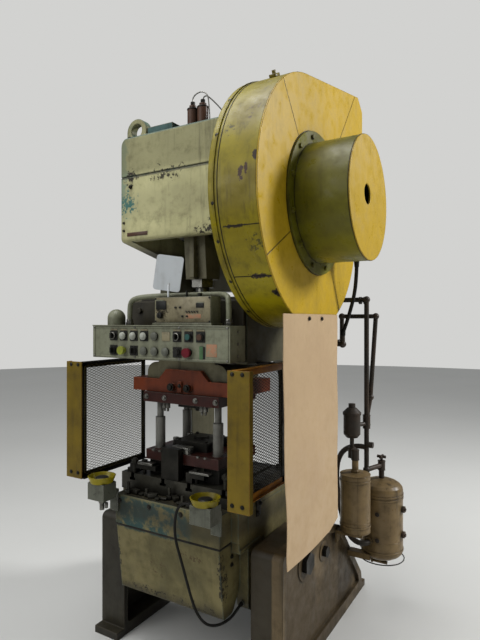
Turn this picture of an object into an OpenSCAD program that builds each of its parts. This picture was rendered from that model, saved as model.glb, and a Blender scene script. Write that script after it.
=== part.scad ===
// Gap-frame mechanical stamping press with a guarded flywheel, a two-hand control and a four-post die set.
// Millimetres. Inside the modules y = 0 is the crankshaft's axis, x = 0 the slide's centre line and z = 0 the
// floor; press() then moves the whole machine so that the origin is the centre of the floor bolt holes.

/* [Crown] */
// Width of the crown across its side walls
crown_w = 670; // [600:5:740]
// Distance from the crankshaft's axis to the crown's front face
crown_front = 220; // [205:5:260]
// Distance from the crankshaft's axis to the crown's back face
crown_back = 330; // [300:5:380]
// Height of the crown's lower front edge above the floor
crown_bottom = 1985; // [1960:5:2020]
// Height of the crown's top above the floor
crown_top = 2495; // [2440:5:2560]
// Thickness of the cast side walls
wall_t = 60; // [45:1:75]

/* [Frame] */
// Distance from the slide's centre to the uprights behind the dies
throat = 290; // [240:5:340]
// Distance from the slide's centre to the back of the uprights
frame_back = 520; // [480:5:560]
// Width of the bed's top flange
bed_w = 666; // [640:2:668]
// Distance from the slide's centre to the bed's front face
bed_front = 300; // [280:5:330]
// Height of the bed's top face above the floor
bed_top = 775; // [740:5:810]
// Depth of the bed's top flange
bed_flange = 140; // [110:5:160]
// Width of the apron under the bed's front
apron_w = 580; // [520:5:620]
// Height of the apron's lower edge above the floor
apron_bottom = 318; // [300:2:360]

/* [Legs] */
// Gap between the frame's side wall and a leg
leg_clear = 33; // [15:1:45]
// Width of one leg
leg_w = 154; // [130:2:190]
// Height of a leg
leg_h = 600; // [560:5:625]
// Floor bolt spacing from front to back
anchor_dy = 960; // [900:10:1000]
// Diameter of a floor bolt hole
anchor_d = 28; // [20:1:34]

/* [Drive] */
// Height of the crankshaft's axis above the floor
crank_z = 2105; // [2095:1:2120]
// Stroke of the slide
stroke = 76; // [50:1:80]
// Diameter of the crankshaft's main journals
journal_d = 120; // [100:1:130]
// Diameter of the crankpin
crankpin_d = 130; // [110:1:140]
// Diameter of the crankshaft's end that carries the flywheel
tail_d = 110; // [90:1:118]
// Distance from the crankpin to the ball at the lower end of the connecting rod
rod_length = 548; // [530:1:560]
// Diameter of the flywheel
flywheel_d = 980; // [900:5:1000]
// Width of the flywheel's rim
flywheel_w = 150; // [130:1:155]
// Number of belts
belts = 4; // [2:1:5]
// Diameter of the motor's pulley
pulley_d = 150; // [120:1:170]
// Distance from the crankshaft's axis back to the motor's axis
motor_y = 520; // [510:1:525]
// Height of the motor's axis above the floor
motor_z = 2640; // [2620:1:2650]

/* [Guard] */
// Radius of the flywheel guard
guard_r = 540; // [530:1:560]
// Depth of the guard from its back plate to its outer face
guard_depth = 209; // [200:1:225]
// Thickness of the guard's plate
guard_t = 6; // [4:0.5:8]
// Outer diameter of the clutch housing
housing_d = 514; // [500:2:540]
// Length of the clutch housing
housing_l = 235; // [201:2:251]

/* [Slide and dies] */
// Width of the slide between its guide ears
slide_w = 330; // [310:2:350]
// Depth of the slide from front to back
slide_d = 280; // [270:2:300]
// Height of the slide's lower face above the floor, at the top of the stroke
slide_z = 1316; // [1306:1:1330]
// Height of the slide's body
slide_h = 374; // [360:2:390]
// Length of the slide's guides
gib_h = 305; // [290:5:315]
// Width of the ram plate
ram_plate_w = 610; // [560:5:640]
// Thickness of the ram plate
ram_plate_t = 62; // [50:1:70]
// Thickness of the bolster plate
bolster_t = 80; // [60:1:100]
// Width of the die shoes
shoe_w = 436; // [400:2:460]
// Thickness of the die shoes
shoe_t = 48; // [38:1:60]
// Diameter of the die set's guide posts
post_d = 32; // [25:1:38]

/* [Controls] */
// Width of the control panel
panel_w = 766; // [740:2:800]
// Height of the control panel
panel_h = 150; // [140:1:170]
// Depth of the control panel
panel_d = 120; // [90:1:140]
// Spacing of the devices along the panel
device_pitch = 61; // [56:1:66]
// Diameter of the holes that the devices sit in
device_d = 26; // [24:0.5:28]
// Travel of a push button
button_travel = 5; // [3:0.5:6]
// Diameter of the ring guards round the palm buttons
ring_d = 127; // [110:1:140]

/* [Side guards] */
// Width of a guard post
guard_post_w = 100; // [80:1:110]
// Height of a guard post
guard_post_h = 554; // [500:1:560]
// Distance from the centre line to the outer edge of a guard post
guard_post_x = 507; // [490:1:520]
// Length of a mesh panel from front to back
mesh_l = 450; // [400:5:480]

/* [Air equipment] */
// Diameter of the large air tank
big_tank_d = 230; // [210:2:250]
// Height of the large air tank
big_tank_h = 443; // [420:1:480]
// Diameter of the small air tank
small_tank_d = 154; // [140:2:170]
// Height of the small air tank
small_tank_h = 310; // [280:5:340]

/* [Fits] */
// Radial clearance of a shaft that turns or slides in its bore
running_fit = 0.05; // [0.02:0.01:0.1]
// Gap between flat faces that slide past each other
slide_gap = 0.3; // [0.2:0.05:0.5]
// Gap round a button in its bezel
button_gap = 0.4; // [0.3:0.05:0.6]

/* [Hidden] */
$fn = 48;

// Derived sizes of the frame
half_crown = crown_w / 2;
half_bed = bed_w / 2;
inner_wall = half_crown - wall_t;
plate_t = 40;
bed_under = bed_top - bed_flange;
body_front = -129;
body_bottom = 300;
nose_back = -210;
gib_bottom = slide_z + 84;
gib_top = gib_bottom + gib_h;
gib_front = slide_d / 2;
window_back = 80;
window_top = crown_bottom - 65;
apron_lean = 38;
seam_z = 2300;
boss_r = 150;

// Derived sizes of the legs
leg_in = half_crown + leg_clear;
leg_out = leg_in + leg_w;
leg_front = -165;
foot_front = -215;
foot_back = 960;
foot_t = 35;
leg_web_t = 30;
leg_recess = 18;
pivot_y = 110;
pivot_z = 470;
clamp_y = 330;
clamp_z = 440;
leg_bolt_r = 30;
anchor_dx = 2 * leg_in + leg_w;
anchor_front = -110;
anchor_mid = anchor_front + anchor_dy / 2;

// Derived sizes of the drive
throw = stroke / 2;
pin_z = crank_z + throw;
ball_z = pin_z - rod_length;
journal_r = journal_d / 2;
crankpin_r = crankpin_d / 2;
tail_r = tail_d / 2;
bush_t = 15;
web_gap = 76;
web_t = 30;
web_r = throw + crankpin_r + 8;
rod_side = web_gap - 2;
rod_strap = 34;
boss_l = 62;
guard_back_x = half_crown + boss_l;
guard_x = guard_back_x + guard_depth;
flywheel_x = guard_back_x + 39;
flywheel_r = flywheel_d / 2;
flywheel_end = flywheel_x + flywheel_w;
belt_w = 14;
belt_t = 10;
belt_pitch = 20;
belt_flank = 0.8;
groove_depth = 14;
belt_x0 = flywheel_x + 25;
pulley_r = pulley_d / 2;
motor_r = 115;
motor_shaft_r = 19;
motor_end_x = guard_back_x - 60;
motor_start_x = motor_end_x - 290;
shaft_end_x = guard_x + housing_l - 34;

// Derived sizes of the guard and the clutch housing
band_x = guard_back_x + 27;
guard_lip = 4;
housing_r = housing_d / 2;
housing_ring_r = housing_r + 50;
housing_wall = 6;
housing_end = guard_x + housing_l;
ring_t = 10;
belt_case = [[570, 2783], [644, 2727], [644, 2607]];

// Derived sizes of the slide and the dies
half_slide = slide_w / 2;
ear_reach = 50;
ear_half = 50;
rod_well_y = 100;
rod_well_x = 80;
ball_r = 45;
rod_well_floor = ball_z - stroke - ball_r - 10;
screw_r = 35;
slide_flange_w = 470;
slide_flange_h = 79;
ram_front = -165;
ram_lip_z = slide_z + 48;
ram_bottom = slide_z - ram_plate_t;
upper_shoe_z = ram_bottom - shoe_t;
bolster_top = bed_top + bolster_t;
bolster_half = half_bed - 1;
bolster_front = -220;
bolster_back = 260;
slot_x = 150;
slot_w = 20;
slot_head_w = 36;
slot_depth = 34;
slot_head_h = 14;
parallel_h = 70;
lower_shoe_z = bolster_top + parallel_h;
lower_shoe_top = lower_shoe_z + shoe_t;
post_x = 170;
post_front = -120;
post_back = 100;
post_r = post_d / 2;
bushing_r = post_r + 8;
bushing_top = upper_shoe_z - stroke - 6;
post_engaged = 40;

// Derived sizes of the controls
panel_front = -360;
panel_bottom = 1425;
panel_top = panel_bottom + panel_h;
panel_wall = 3;
device_r = device_d / 2;
row_top_z = panel_bottom + 0.69 * panel_h;
row_low_z = panel_bottom + 0.25 * panel_h;
plate_side = 44;
legend_t = 3;
bezel_h = 8;
bezel_r = device_r + 4;
cap_proud = button_travel - 1;
palm_x = 290;
palm_y = -385;
palm_shift = -10;
palm_box_w = 100;
palm_box_d = 80;
palm_box_h = 76;
palm_box_z = 774;
palm_top = palm_box_z + palm_box_h;
palm_travel = 8;
stem_r = 15;

// Derived sizes of the side guards
guard_post_y = -400;
guard_post_z = 848;
guard_shift = -12;
post_t = 6;
mesh_x = 420;
mesh_t = 4;
rail = 30;
mesh_top = guard_post_z + guard_post_h;
mesh_columns = 12;
mesh_rows = 9;

// Derived places of the air equipment
big_tank = [677, 770, 277];
small_tank = [615, 500, 500];
bowl = [585, 537, 980];
bowl_r = 44;
pipe_r = 13;
riser = [632, 640];
pipe_out = half_crown + 95;
valve_z = big_tank[2] + big_tank_h + 70;
drop_end = [640, 640, 400];
hose_end = [600, 350, 1525];

// Routes of the free cable and of the hose, chosen by hand
cable_start = [214, -385, 834];
cable_route = [
  [208, -385, 834], [184, -385, 836], [160, -384.5, 829], [140, -383.5, 808], [126, -382, 772], [119, -379, 725],
  [119, -375, 680], [125, -370, 640], [136, -365, 598], [149, -358, 545], [167, -350, 474], [187, -342, 404],
  [205, -328, 350], [225, -304, 310], [247, -272, 291], [270, -236, 291], [290, -203, 305], [302, -174, 327],
  [306, -152, 339]
];
cable_end = [306, -141, 340];
cable_r = 6;
// Clearance between a bent pipe's end and the stub it enters
seat = 1.5;
hose_lead = 6;
hose_route = [
  [700, 262, 1880], [696, 272, 1830], [684, 292, 1760], [668, 308, 1700], [646, 324, 1640],
  [622, 338, 1580], [600, 350, 1531]
];

// Moves the machine so that the origin is the centre of the floor bolt holes
module press() {
  translate([0, -anchor_mid, 0]) children();
}

// Solids given by their limits and outlines drawn in one plane
module block(x, y, z) {
  translate([x[0], y[0], z[0]]) cube([x[1] - x[0], y[1] - y[0], z[1] - z[0]]);
}
module along_x(x0, x1) {
  translate([x0, 0, 0]) rotate([90, 0, 90]) linear_extrude(x1 - x0) children();
}
module along_y(y0, y1) {
  translate([0, y1, 0]) rotate([90, 0, 0]) linear_extrude(y1 - y0) children();
}
module rod_x(x0, x1, y, z, r, sides = 64) {
  translate([x0, y, z]) rotate([0, 90, 0]) cylinder(r = r, h = x1 - x0, $fn = sides);
}
module rod_y(x, y0, y1, z, r, sides = 48) {
  translate([x, y1, z]) rotate([90, 0, 0]) cylinder(r = r, h = y1 - y0, $fn = sides);
}
module rod_z(x, y, z0, z1, r, sides = 48) {
  translate([x, y, z0]) cylinder(r = r, h = z1 - z0, $fn = sides);
}
module both_sides() {
  children();
  mirror([1, 0, 0]) children();
}

// Outline whose corners, given as [across, up, radius], are rounded by arcs
arc_steps = 6;
function unit(v) = v / norm(v);
function flat(p) = [p[0], p[1]];
function corner_arc(a, b, c) =
  let (
    u = unit(flat(a) - flat(b)),
    w = unit(flat(c) - flat(b)),
    half = acos(u * w) / 2,
    centre = flat(b) + unit(u + w) * b[2] / sin(half),
    first = flat(b) + u * b[2] / tan(half) - centre,
    last = flat(b) + w * b[2] / tan(half) - centre,
    start = atan2(first[1], first[0]),
    turn = atan2(last[1], last[0]) - start,
    sweep = turn > 180 ? turn - 360 : turn < -180 ? turn + 360 : turn
  )
  [for (i = [0:arc_steps]) centre + b[2] * [cos(start + sweep * i / arc_steps), sin(start + sweep * i / arc_steps)]];
function rounded(points) =
  let (n = len(points))
  [for (i = [0:n - 1]) each points[i][2] > 0
    ? corner_arc(points[(i + n - 1) % n], points[i], points[(i + 1) % n])
    : [flat(points[i])]];

// Curve through hand-set points, and a tube swept along it
function blend(p, i, t) =
  let (
    a = p[max(i - 1, 0)], b = p[i], c = p[i + 1], d = p[min(i + 2, len(p) - 1)]
  )
  0.5 * (2 * b + (c - a) * t + (2 * a - 5 * b + 4 * c - d) * t * t + (3 * b - a - 3 * c + d) * t * t * t);
function smooth(p, steps) =
  [for (i = [0:len(p) - 2], k = [0:steps - 1]) blend(p, i, k / steps), p[len(p) - 1]];
module tube(path, r, side_axis = [1, 0, 0], sides = 10) {
  n = len(path);
  ring = [for (i = [0:n - 1])
    let (
      along = unit(path[min(i + 1, n - 1)] - path[max(i - 1, 0)]),
      u = unit(cross(along, side_axis)),
      w = cross(along, u)
    )
    for (k = [0:sides - 1]) path[i] + r * (cos(360 * k / sides) * u + sin(360 * k / sides) * w)];
  walls = [for (i = [0:n - 2], k = [0:sides - 1])
    let (a = i * sides + k, b = i * sides + (k + 1) % sides)
    [a, a + sides, b + sides, b]];
  start_cap = [for (k = [0:sides - 1]) k];
  end_cap = [for (k = [sides - 1:-1:0]) (n - 1) * sides + k];
  polyhedron(ring, concat([start_cap, end_cap], walls));
}

// Side view of the C-shaped frame, from the crown's front down round the gap to the bed
function frame_outline() = rounded([
  [-crown_front, crown_bottom, 20],
  [-crown_front, crown_top, 12],
  [crown_back, crown_top, 12],
  [crown_back, 2180, 200],
  [frame_back - 20, 1500, 300],
  [frame_back, 1100, 120],
  [frame_back, 640, 80],
  [frame_back - 90, body_bottom, 90],
  [body_front, body_bottom, 40],
  [body_front, bed_top - 20, 0],
  [throat, bed_top - 20, 0],
  [throat, gib_bottom, 110],
  [-gib_front, gib_bottom, 15],
  [-gib_front, gib_top, 15],
  [window_back, gib_top, 50],
  [window_back, window_top, 50]
]);
module crown_front_view() {
  polygon(rounded([
    [-half_crown, body_bottom - 10, 0],
    [half_crown, body_bottom - 10, 0],
    [half_crown, crown_top, 45],
    [-half_crown, crown_top, 45]
  ]));
}
module side_walls() {
  intersection() {
    along_x(-half_crown, half_crown) polygon(frame_outline());
    along_y(-crown_front - 10, frame_back + 10) crown_front_view();
  }
}
module frame_hollow() {
  block([-inner_wall, inner_wall], [plate_t - crown_front, crown_back - plate_t], [1700, crown_top - plate_t]);
  block([-inner_wall, inner_wall], [-crown_front - 50, throat + 20], [gib_bottom - 20, crown_bottom]);
  block([-inner_wall, inner_wall], [throat - 20, frame_back + 50], [bed_top, 1760]);
  block([-inner_wall, inner_wall], [body_front - 10, frame_back - 80], [body_bottom - 10, bed_under]);
}
module bed_flange_plate() {
  difference() {
    union() {
      block([-apron_w / 2 - 5, apron_w / 2 + 5], [-bed_front, nose_back], [bed_under, bed_top]);
      block([-half_bed, half_bed], [nose_back, throat + 60], [bed_under, bed_top]);
    }
    rod_z(0, 0, bed_under - 1, bed_top + 1, 90);
  }
  both_sides() {
    block([half_bed - 40, half_bed], [nose_back + 5, -20], [bed_under - 46, bed_under + 2]);
    block([half_bed - 1, half_bed + 6], [nose_back + 5, -20], [bed_under - 46, bed_under - 30]);
  }
}
// The apron leans back a little towards its lower edge
module apron_side(depth, wall) {
  polygon(rounded([
    [-bed_front + wall, bed_under + 5, 0],
    [-bed_front + apron_lean + wall, apron_bottom + wall * 0.3, 10],
    [body_front - 60 + depth, apron_bottom, 30],
    [body_front + depth, apron_bottom + 90, 60],
    [body_front + depth, bed_under + 5, 0]
  ]));
}
module apron() {
  difference() {
    along_x(-apron_w / 2, apron_w / 2) apron_side(0, 0);
    along_x(-apron_w / 2 + 28, apron_w / 2 - 28) translate([0, -29]) apron_side(60, 57);
    block([-apron_w / 2 + 28, apron_w / 2 - 28], [-bed_front + apron_lean + 30, 0], [apron_bottom - 20, bed_under - 40]);
  }
}
module lifting_lug() {
  difference() {
    union() {
      block([-305, -185], [-210, -170], [crown_top - 10, crown_top + 20]);
      rod_y(-245, -210, -170, crown_top + 22, 60);
    }
    rod_y(-245, -220, -160, crown_top + 26, 34);
    block([-320, -170], [-220, -160], [crown_top - 100, crown_top - 10]);
  }
}
module frame_casting() color("#9a9678") {
  difference() {
    union() {
      difference() {
        side_walls();
        frame_hollow();
      }
      bed_flange_plate();
      apron();
      rod_x(half_crown - 5, half_crown + boss_l, 0, crank_z, boss_r);
      rod_x(-half_crown - 20, -half_crown + 5, 0, crank_z, boss_r);
      both_sides() rod_x(inner_wall, leg_in, pivot_y, pivot_z, 85);
      both_sides() rod_x(inner_wall, leg_in, clamp_y, clamp_z, 50);
      lifting_lug();
    }
    rod_x(-half_crown - 30, half_crown + boss_l + 10, 0, crank_z, journal_r + bush_t);
    both_sides() rod_x(inner_wall - 10, leg_in + 10, pivot_y, pivot_z, leg_bolt_r);
    both_sides() rod_x(inner_wall - 10, leg_in + 10, clamp_y, clamp_z, leg_bolt_r / 2);
    block([-half_crown - 1, half_crown + 1], [-crown_front - 1, -crown_front + 4], [seam_z - 3, seam_z + 3]);
    rod_y(-half_crown + 62, -crown_front - 10, -crown_front + plate_t + 10, seam_z - 52, 9);
  }
}

// One leg casting, drawn on the right: a web with a rim on both faces and a foot
function leg_outline(inset) = rounded([
  [leg_front + inset, foot_t - 5 + inset, inset > 0 ? 20 : 0],
  [leg_front + inset, leg_h - inset, 30],
  [pivot_y + 60, leg_h + 10 - inset, 90],
  [clamp_y + 200 - inset * 0.6, leg_h - 90 - inset, 120],
  [foot_back - 70 - inset * 1.6, 110, 60],
  [foot_back - 50 - inset * 1.6, foot_t - 5 + inset, inset > 0 ? 10 : 0]
]);
module leg() {
  web_out = leg_out - leg_recess;
  web_in = web_out - leg_web_t;
  difference() {
    union() {
      difference() {
        along_x(leg_in, leg_out) polygon(leg_outline(0));
        along_x(leg_in - 1, web_in) polygon(leg_outline(26));
        along_x(web_out, leg_out + 1) polygon(leg_outline(34));
      }
      block([leg_in, leg_out], [foot_front, foot_back], [0, foot_t]);
      rod_x(leg_in, web_out + 5, pivot_y, pivot_z, 85);
      rod_x(leg_in, web_out + 5, clamp_y, clamp_z, 50);
    }
    rod_x(leg_in - 5, leg_out + 5, pivot_y, pivot_z, leg_bolt_r);
    rod_x(leg_in - 5, leg_out + 5, clamp_y, clamp_z, leg_bolt_r / 2);
    for (y = [anchor_front, anchor_front + anchor_dy]) rod_z(anchor_dx / 2, y, -5, foot_t + 5, anchor_d / 2);
  }
}
module left_leg() color("#5d5949") mirror([1, 0, 0]) leg();
module right_leg() color("#857f66") leg();
module leg_bolt(y, z, r, head_r) {
  shank_end = leg_out - leg_recess + 5;
  rod_x(inner_wall - 25, shank_end, y, z, r);
  rod_x(shank_end, shank_end + 22, y, z, head_r, 6);
  rod_x(inner_wall - 25, inner_wall, y, z, head_r, 6);
}
module leg_bolts() color("#4a453c") both_sides() {
  leg_bolt(pivot_y, pivot_z, leg_bolt_r, 52);
  leg_bolt(clamp_y, clamp_z, leg_bolt_r / 2, 28);
}

module crown_top_plate() color("#5f8f8b") {
  block([-180, -30], [-205, -60], [crown_top, crown_top + 30]);
  block([-30, 280], [-150, 200], [crown_top, crown_top + 12]);
}
// Two-feed oil lubricator on the crown, with its caps and mounting bolts
module lubricator() color("#7a4a38") {
  plate_top = crown_top + 26;
  block([-28, 124], [-145, -75], [crown_top + 12, plate_top]);
  for (x = [19, 77]) {
    rod_z(x, -110, plate_top, plate_top + 85, 26);
    rod_z(x, -110, plate_top + 85, plate_top + 100, 17);
  }
  for (x = [-18, 114]) rod_z(x, -110, plate_top, plate_top + 16, 8, 6);
}

module bush(x0, x1, y, z, r_in, r_out) {
  difference() {
    rod_x(x0, x1, y, z, r_out);
    rod_x(x0 - 1, x1 + 1, y, z, r_in);
  }
}
module main_bearings() color("#a8854a") {
  bush(-half_crown - 20, -inner_wall, 0, crank_z, journal_r + running_fit, journal_r + bush_t);
  bush(inner_wall, guard_back_x, 0, crank_z, journal_r + running_fit, journal_r + bush_t);
}
module left_bearing_cap() color("#8d8a70") {
  outer = -half_crown - 20;
  difference() {
    union() {
      rod_x(outer - 14, outer, 0, crank_z, boss_r - 5);
      rod_x(outer - 34, outer - 14, 0, crank_z, journal_r + 22);
      for (a = [30:60:330]) rod_x(outer - 24, outer - 14, 118 * cos(a), crank_z + 118 * sin(a), 12, 6);
    }
    rod_x(outer - 20, outer + 1, 0, crank_z, journal_r + 2);
  }
}

// Guides of the slide: a slotted block on each side wall, closed in front by a bolted cap
module gibs() color("#6f6c60") {
  slot_out = half_slide + ear_reach + slide_gap;
  slot_half = ear_half + slide_gap;
  both_sides() {
    translate([0, 0, gib_bottom]) linear_extrude(gib_top - gib_bottom) polygon([
      [half_slide + slide_gap, -gib_front],
      [inner_wall, -gib_front],
      [inner_wall, gib_front],
      [half_slide + slide_gap, gib_front],
      [half_slide + slide_gap, slot_half],
      [slot_out, slot_half],
      [slot_out, -slot_half],
      [half_slide + slide_gap, -slot_half]
    ]);
    block([half_slide + 4, half_crown - 4], [-gib_front - 24, -gib_front], [gib_bottom + 15, gib_top - 15]);
    for (z = [gib_bottom + 60, (gib_bottom + gib_top) / 2, gib_top - 60])
      rod_y(inner_wall - 12, -gib_front - 38, -gib_front - 24, z, 15, 6);
  }
}

module t_slot() {
  polygon([
    [-slot_w / 2, 1], [-slot_w / 2, slot_head_h - slot_depth], [-slot_head_w / 2, slot_head_h - slot_depth],
    [-slot_head_w / 2, -slot_depth], [slot_head_w / 2, -slot_depth], [slot_head_w / 2, slot_head_h - slot_depth],
    [slot_w / 2, slot_head_h - slot_depth], [slot_w / 2, 1]
  ]);
}
module bolster_plate() color("#5b594c") {
  difference() {
    block([-bolster_half, bolster_half], [bolster_front, bolster_back], [bed_top, bolster_top]);
    for (x = [-slot_x * 1.75, -slot_x / 2, slot_x / 2, slot_x * 1.75])
      translate([x, 0, bolster_top]) along_y(bolster_front - 1, bolster_back + 1) t_slot();
  }
  for (x = [-bolster_half + 28, bolster_half - 28], y = [bolster_front + 30, bolster_back - 30])
    rod_z(x, y, bolster_top, bolster_top + 16, 14, 6);
}
module strap(x0, x1) {
  block([x0, x1], [bolster_front + 12, bolster_front + 46], [bolster_top + 24, bolster_top + 46]);
  block([x0, x0 + 34], [bolster_front + 12, bolster_front + 46], [bolster_top, bolster_top + 24]);
  rod_z((x0 + x1) / 2, bolster_front + 29, bolster_top, bolster_top + 24, 9);
  rod_z((x0 + x1) / 2, bolster_front + 29, bolster_top + 46, bolster_top + 66, 15, 6);
}
module clamps_and_parallels() color("#3a3935") {
  both_sides() block([118, 202], [-160, 150], [bolster_top, lower_shoe_z]);
  strap(-290, -130);
  strap(50, 150);
  block([-88, 12], [-215, -181], [bolster_top, lower_shoe_top + 28]);
}
module lower_die_set() color("#8c3a28") {
  half = shoe_w / 2 - 8;
  block([-half, half], [-180, 160], [lower_shoe_z, lower_shoe_top]);
  for (x = [-post_x, post_x], y = [post_front, post_back]) difference() {
    rod_z(x, y, lower_shoe_top, bushing_top, bushing_r);
    rod_z(x, y, lower_shoe_top - 1, bushing_top + 1, post_r + running_fit);
  }
}
module die_block() color("#45433d") {
  block([-95, 95], [-105, 85], [lower_shoe_top, lower_shoe_top + 42]);
  for (x = [-78, 78], y = [-85, 65]) rod_z(x, y, lower_shoe_top + 42, lower_shoe_top + 50, 8);
  rod_z(0, -10, lower_shoe_top + 42, lower_shoe_top + 56, 38);
}

// Side view of the flywheel guard: a circle with a raised case over the belts
function guard_arc(inset, from, to, step) =
  [for (a = [from:step:to]) [(guard_r - inset) * cos(a), crank_z + (guard_r - inset) * sin(a)]];
function guard_outline(inset) = concat(
  guard_arc(inset, 102, 372, 5),
  [
    belt_case[2] + [-inset, 0],
    belt_case[1] + [-inset, -inset * 0.5],
    belt_case[0] + [-inset * 0.35, -inset]
  ]
);
module guard_back() color("#8d8f3a") {
  difference() {
    union() {
      along_x(guard_back_x, guard_back_x + guard_t) polygon(guard_outline(0));
      along_x(guard_back_x + guard_t, band_x) difference() {
        polygon(guard_outline(0));
        polygon(guard_outline(guard_t));
      }
      along_x(band_x - guard_t, band_x) difference() {
        polygon(guard_outline(-guard_lip));
        polygon(guard_outline(guard_t));
      }
      for (at = [[-150, 2430], [250, 2430]]) rod_x(half_crown, guard_back_x, at[0], at[1], 16);
    }
    rod_x(guard_back_x - 1, guard_back_x + guard_t + 1, 0, crank_z, journal_r + bush_t + 10);
    rod_x(guard_back_x - 1, guard_back_x + guard_t + 1, motor_y, motor_z, 42);
  }
}
module guard_band() color("#a89a2c") {
  along_x(band_x, guard_x - guard_t) difference() {
    polygon(guard_outline(0));
    polygon(guard_outline(guard_t));
  }
}
module guard_face() color("#b5a52e") {
  difference() {
    along_x(guard_x - guard_t, guard_x) polygon(guard_outline(0));
    rod_x(guard_x - guard_t - 1, guard_x + 1, 0, crank_z, housing_r - 20);
    for (a = [128, 52, -8, -58, -150]) translate([guard_x - 1.5, 0, crank_z]) rotate([a, 0, 0])
      translate([0, housing_ring_r + 4, -2]) cube([3, guard_r, 4]);
  }
}
module clutch_housing() color("#9a8f30") {
  difference() {
    union() {
      rod_x(guard_x, guard_x + ring_t, 0, crank_z, housing_ring_r, 96);
      rod_x(guard_x + ring_t, housing_end - housing_wall, 0, crank_z, housing_r, 96);
      for (a = [15:30:345])
        rod_x(guard_x + ring_t, guard_x + ring_t + 9, (housing_r + 25) * cos(a), crank_z + (housing_r + 25) * sin(a), 11, 6);
    }
    rod_x(guard_x - 1, housing_end, 0, crank_z, housing_r - housing_wall, 96);
  }
}
module clutch_end_cover() color("#c9bd6a") {
  difference() {
    rod_x(housing_end - housing_wall, housing_end, 0, crank_z, housing_r, 96);
    rod_x(housing_end - housing_wall - 1, housing_end + 1, -30, crank_z + 12, 42);
  }
}
// Air line that leaves the back of the housing, turns down and comes back to the union above the hose
module air_union_pipe() color("#3b3833") {
  top = hose_route[0] + [0, 0, hose_lead];
  tube(smooth([
    [800, housing_r + seat, crank_z], [800, housing_r + 14, crank_z], [800, housing_r + 32, crank_z - 9],
    [800, housing_r + 43, crank_z - 33], [800, housing_r + 45, crank_z - 70], [799, housing_r + 41, crank_z - 120],
    [795, housing_r + 32, crank_z - 163], [782, housing_r + 21, top[2] + 28], [760, housing_r + 12, top[2] + 16],
    [735, housing_r + 6, top[2] + 14], [top[0] + 8, top[1], top[2] + 14]
  ], 3), 12, [0.6, 0, 0.8], 10);
  rod_z(top[0], top[1], top[2], top[2] + 30, 16);
}
module clutch_hose() color("#26241f") {
  start = hose_route[0] + [0, 0, hose_lead];
  tube(concat([start], smooth(hose_route, 3), [hose_end]), 9, [1, 0, 0], 10);
}

module hanging_sheet() color("#bfa37c") {
  along_x(guard_x, guard_x + 3) polygon([
    [-338, 1625], [-336, 1400], [-331, 1150], [-322, 900], [-309, 627],
    [132, 627], [233, 663], [240, 790], [250, 1625]
  ]);
}

// Places of the panel's devices, counted from the panel's centre
function column_x(i) = (i - 4) * device_pitch - 4;
module device_hole(column, z) {
  rod_y(column_x(column), panel_front - 5, panel_front + panel_wall + 5, z, device_r);
}
button_places = [[7, row_top_z], [8, row_top_z], [1, row_low_z], [7, row_low_z], [6, row_low_z]];
selector_places = [[0, row_top_z], [6, row_top_z], [0, row_low_z], [2, row_low_z]];
lamp_places = [
  [1, row_top_z], [2, row_top_z], [3, row_top_z], [4, row_top_z], [3, row_low_z], [4, row_low_z], [5, row_low_z]
];
plate_places = [
  [0, row_top_z], [1, row_top_z], [2, row_top_z], [3, row_top_z], [6, row_top_z], [7, row_top_z], [8, row_top_z],
  [0, row_low_z], [2, row_low_z], [6, row_low_z]
];
module control_panel() color("#8f907c") {
  difference() {
    block([-panel_w / 2, panel_w / 2], [panel_front, panel_front + panel_d], [panel_bottom, panel_top]);
    block(
      [-panel_w / 2 + panel_wall, panel_w / 2 - panel_wall],
      [panel_front + panel_wall, panel_front + panel_d - panel_wall],
      [panel_bottom + panel_wall, panel_top - panel_wall]
    );
    for (p = concat(button_places, selector_places, lamp_places)) device_hole(p[0], p[1]);
  }
}
// Front of the legend plate behind a device, or of the panel where there is none
function seat_y(p) = panel_front - (len([for (q = plate_places) if (q == p) q]) > 0 ? legend_t : 0);
module bezel(column, z) {
  back = seat_y([column, z]);
  difference() {
    rod_y(column_x(column), back - bezel_h, back, z, bezel_r);
    rod_y(column_x(column), back - bezel_h - 1, back + 1, z, device_r);
  }
}
module panel_fittings() color("#2b2b29") {
  for (p = plate_places) difference() {
    block(
      [column_x(p[0]) - plate_side / 2, column_x(p[0]) + plate_side / 2],
      [panel_front - legend_t, panel_front],
      [p[1] - plate_side / 2, p[1] + plate_side / 2]
    );
    rod_y(column_x(p[0]), panel_front - 9, panel_front + 1, p[1], device_r);
  }
  for (p = button_places) if (p[0] != 1 || p[1] != row_low_z) bezel(p[0], p[1]);
  for (p = selector_places) bezel(p[0], p[1]);
  for (p = lamp_places) {
    rod_y(column_x(p[0]), panel_front - 14, panel_front + 8, p[1], device_r - button_gap);
    rod_y(column_x(p[0]), panel_front - 8, seat_y(p), p[1], bezel_r);
  }
  block([235, 262], [panel_front - 1.5, panel_front], [row_low_z - 26, row_low_z + 26]);
}
// Moving part of a push button, with a mushroom head where head_r is given
module push_button(column, z, head_r) {
  tip = panel_front - legend_t - bezel_h - cap_proud;
  rod_y(column_x(column), tip, panel_front + 6, z, device_r - button_gap);
  if (head_r > 0) rod_y(column_x(column), tip - 12, tip, z, head_r);
}
module teal_button() color("#3f6f66") push_button(7, row_top_z, 0);
module brown_button() color("#6b4a3a") push_button(8, row_top_z, 0);
module yellow_button() color("#9aa04c") push_button(1, row_low_z, 19);
module red_button() color("#6e2431") push_button(7, row_low_z, 20);
module black_button() color("#222222") push_button(6, row_low_z, 0);
module selector(i) {
  x = column_x(selector_places[i][0]);
  z = selector_places[i][1];
  face = panel_front - legend_t - bezel_h;
  color("#1f1f1f") {
    rod_y(x, face - 3, panel_front + 6, z, device_r - button_gap);
    block([x - 4, x + 4], [face - 15, face - 3], [z - 12, z + 12]);
  }
}
module selector_1() selector(0);
module selector_2() selector(1);
module selector_3() selector(2);
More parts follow.
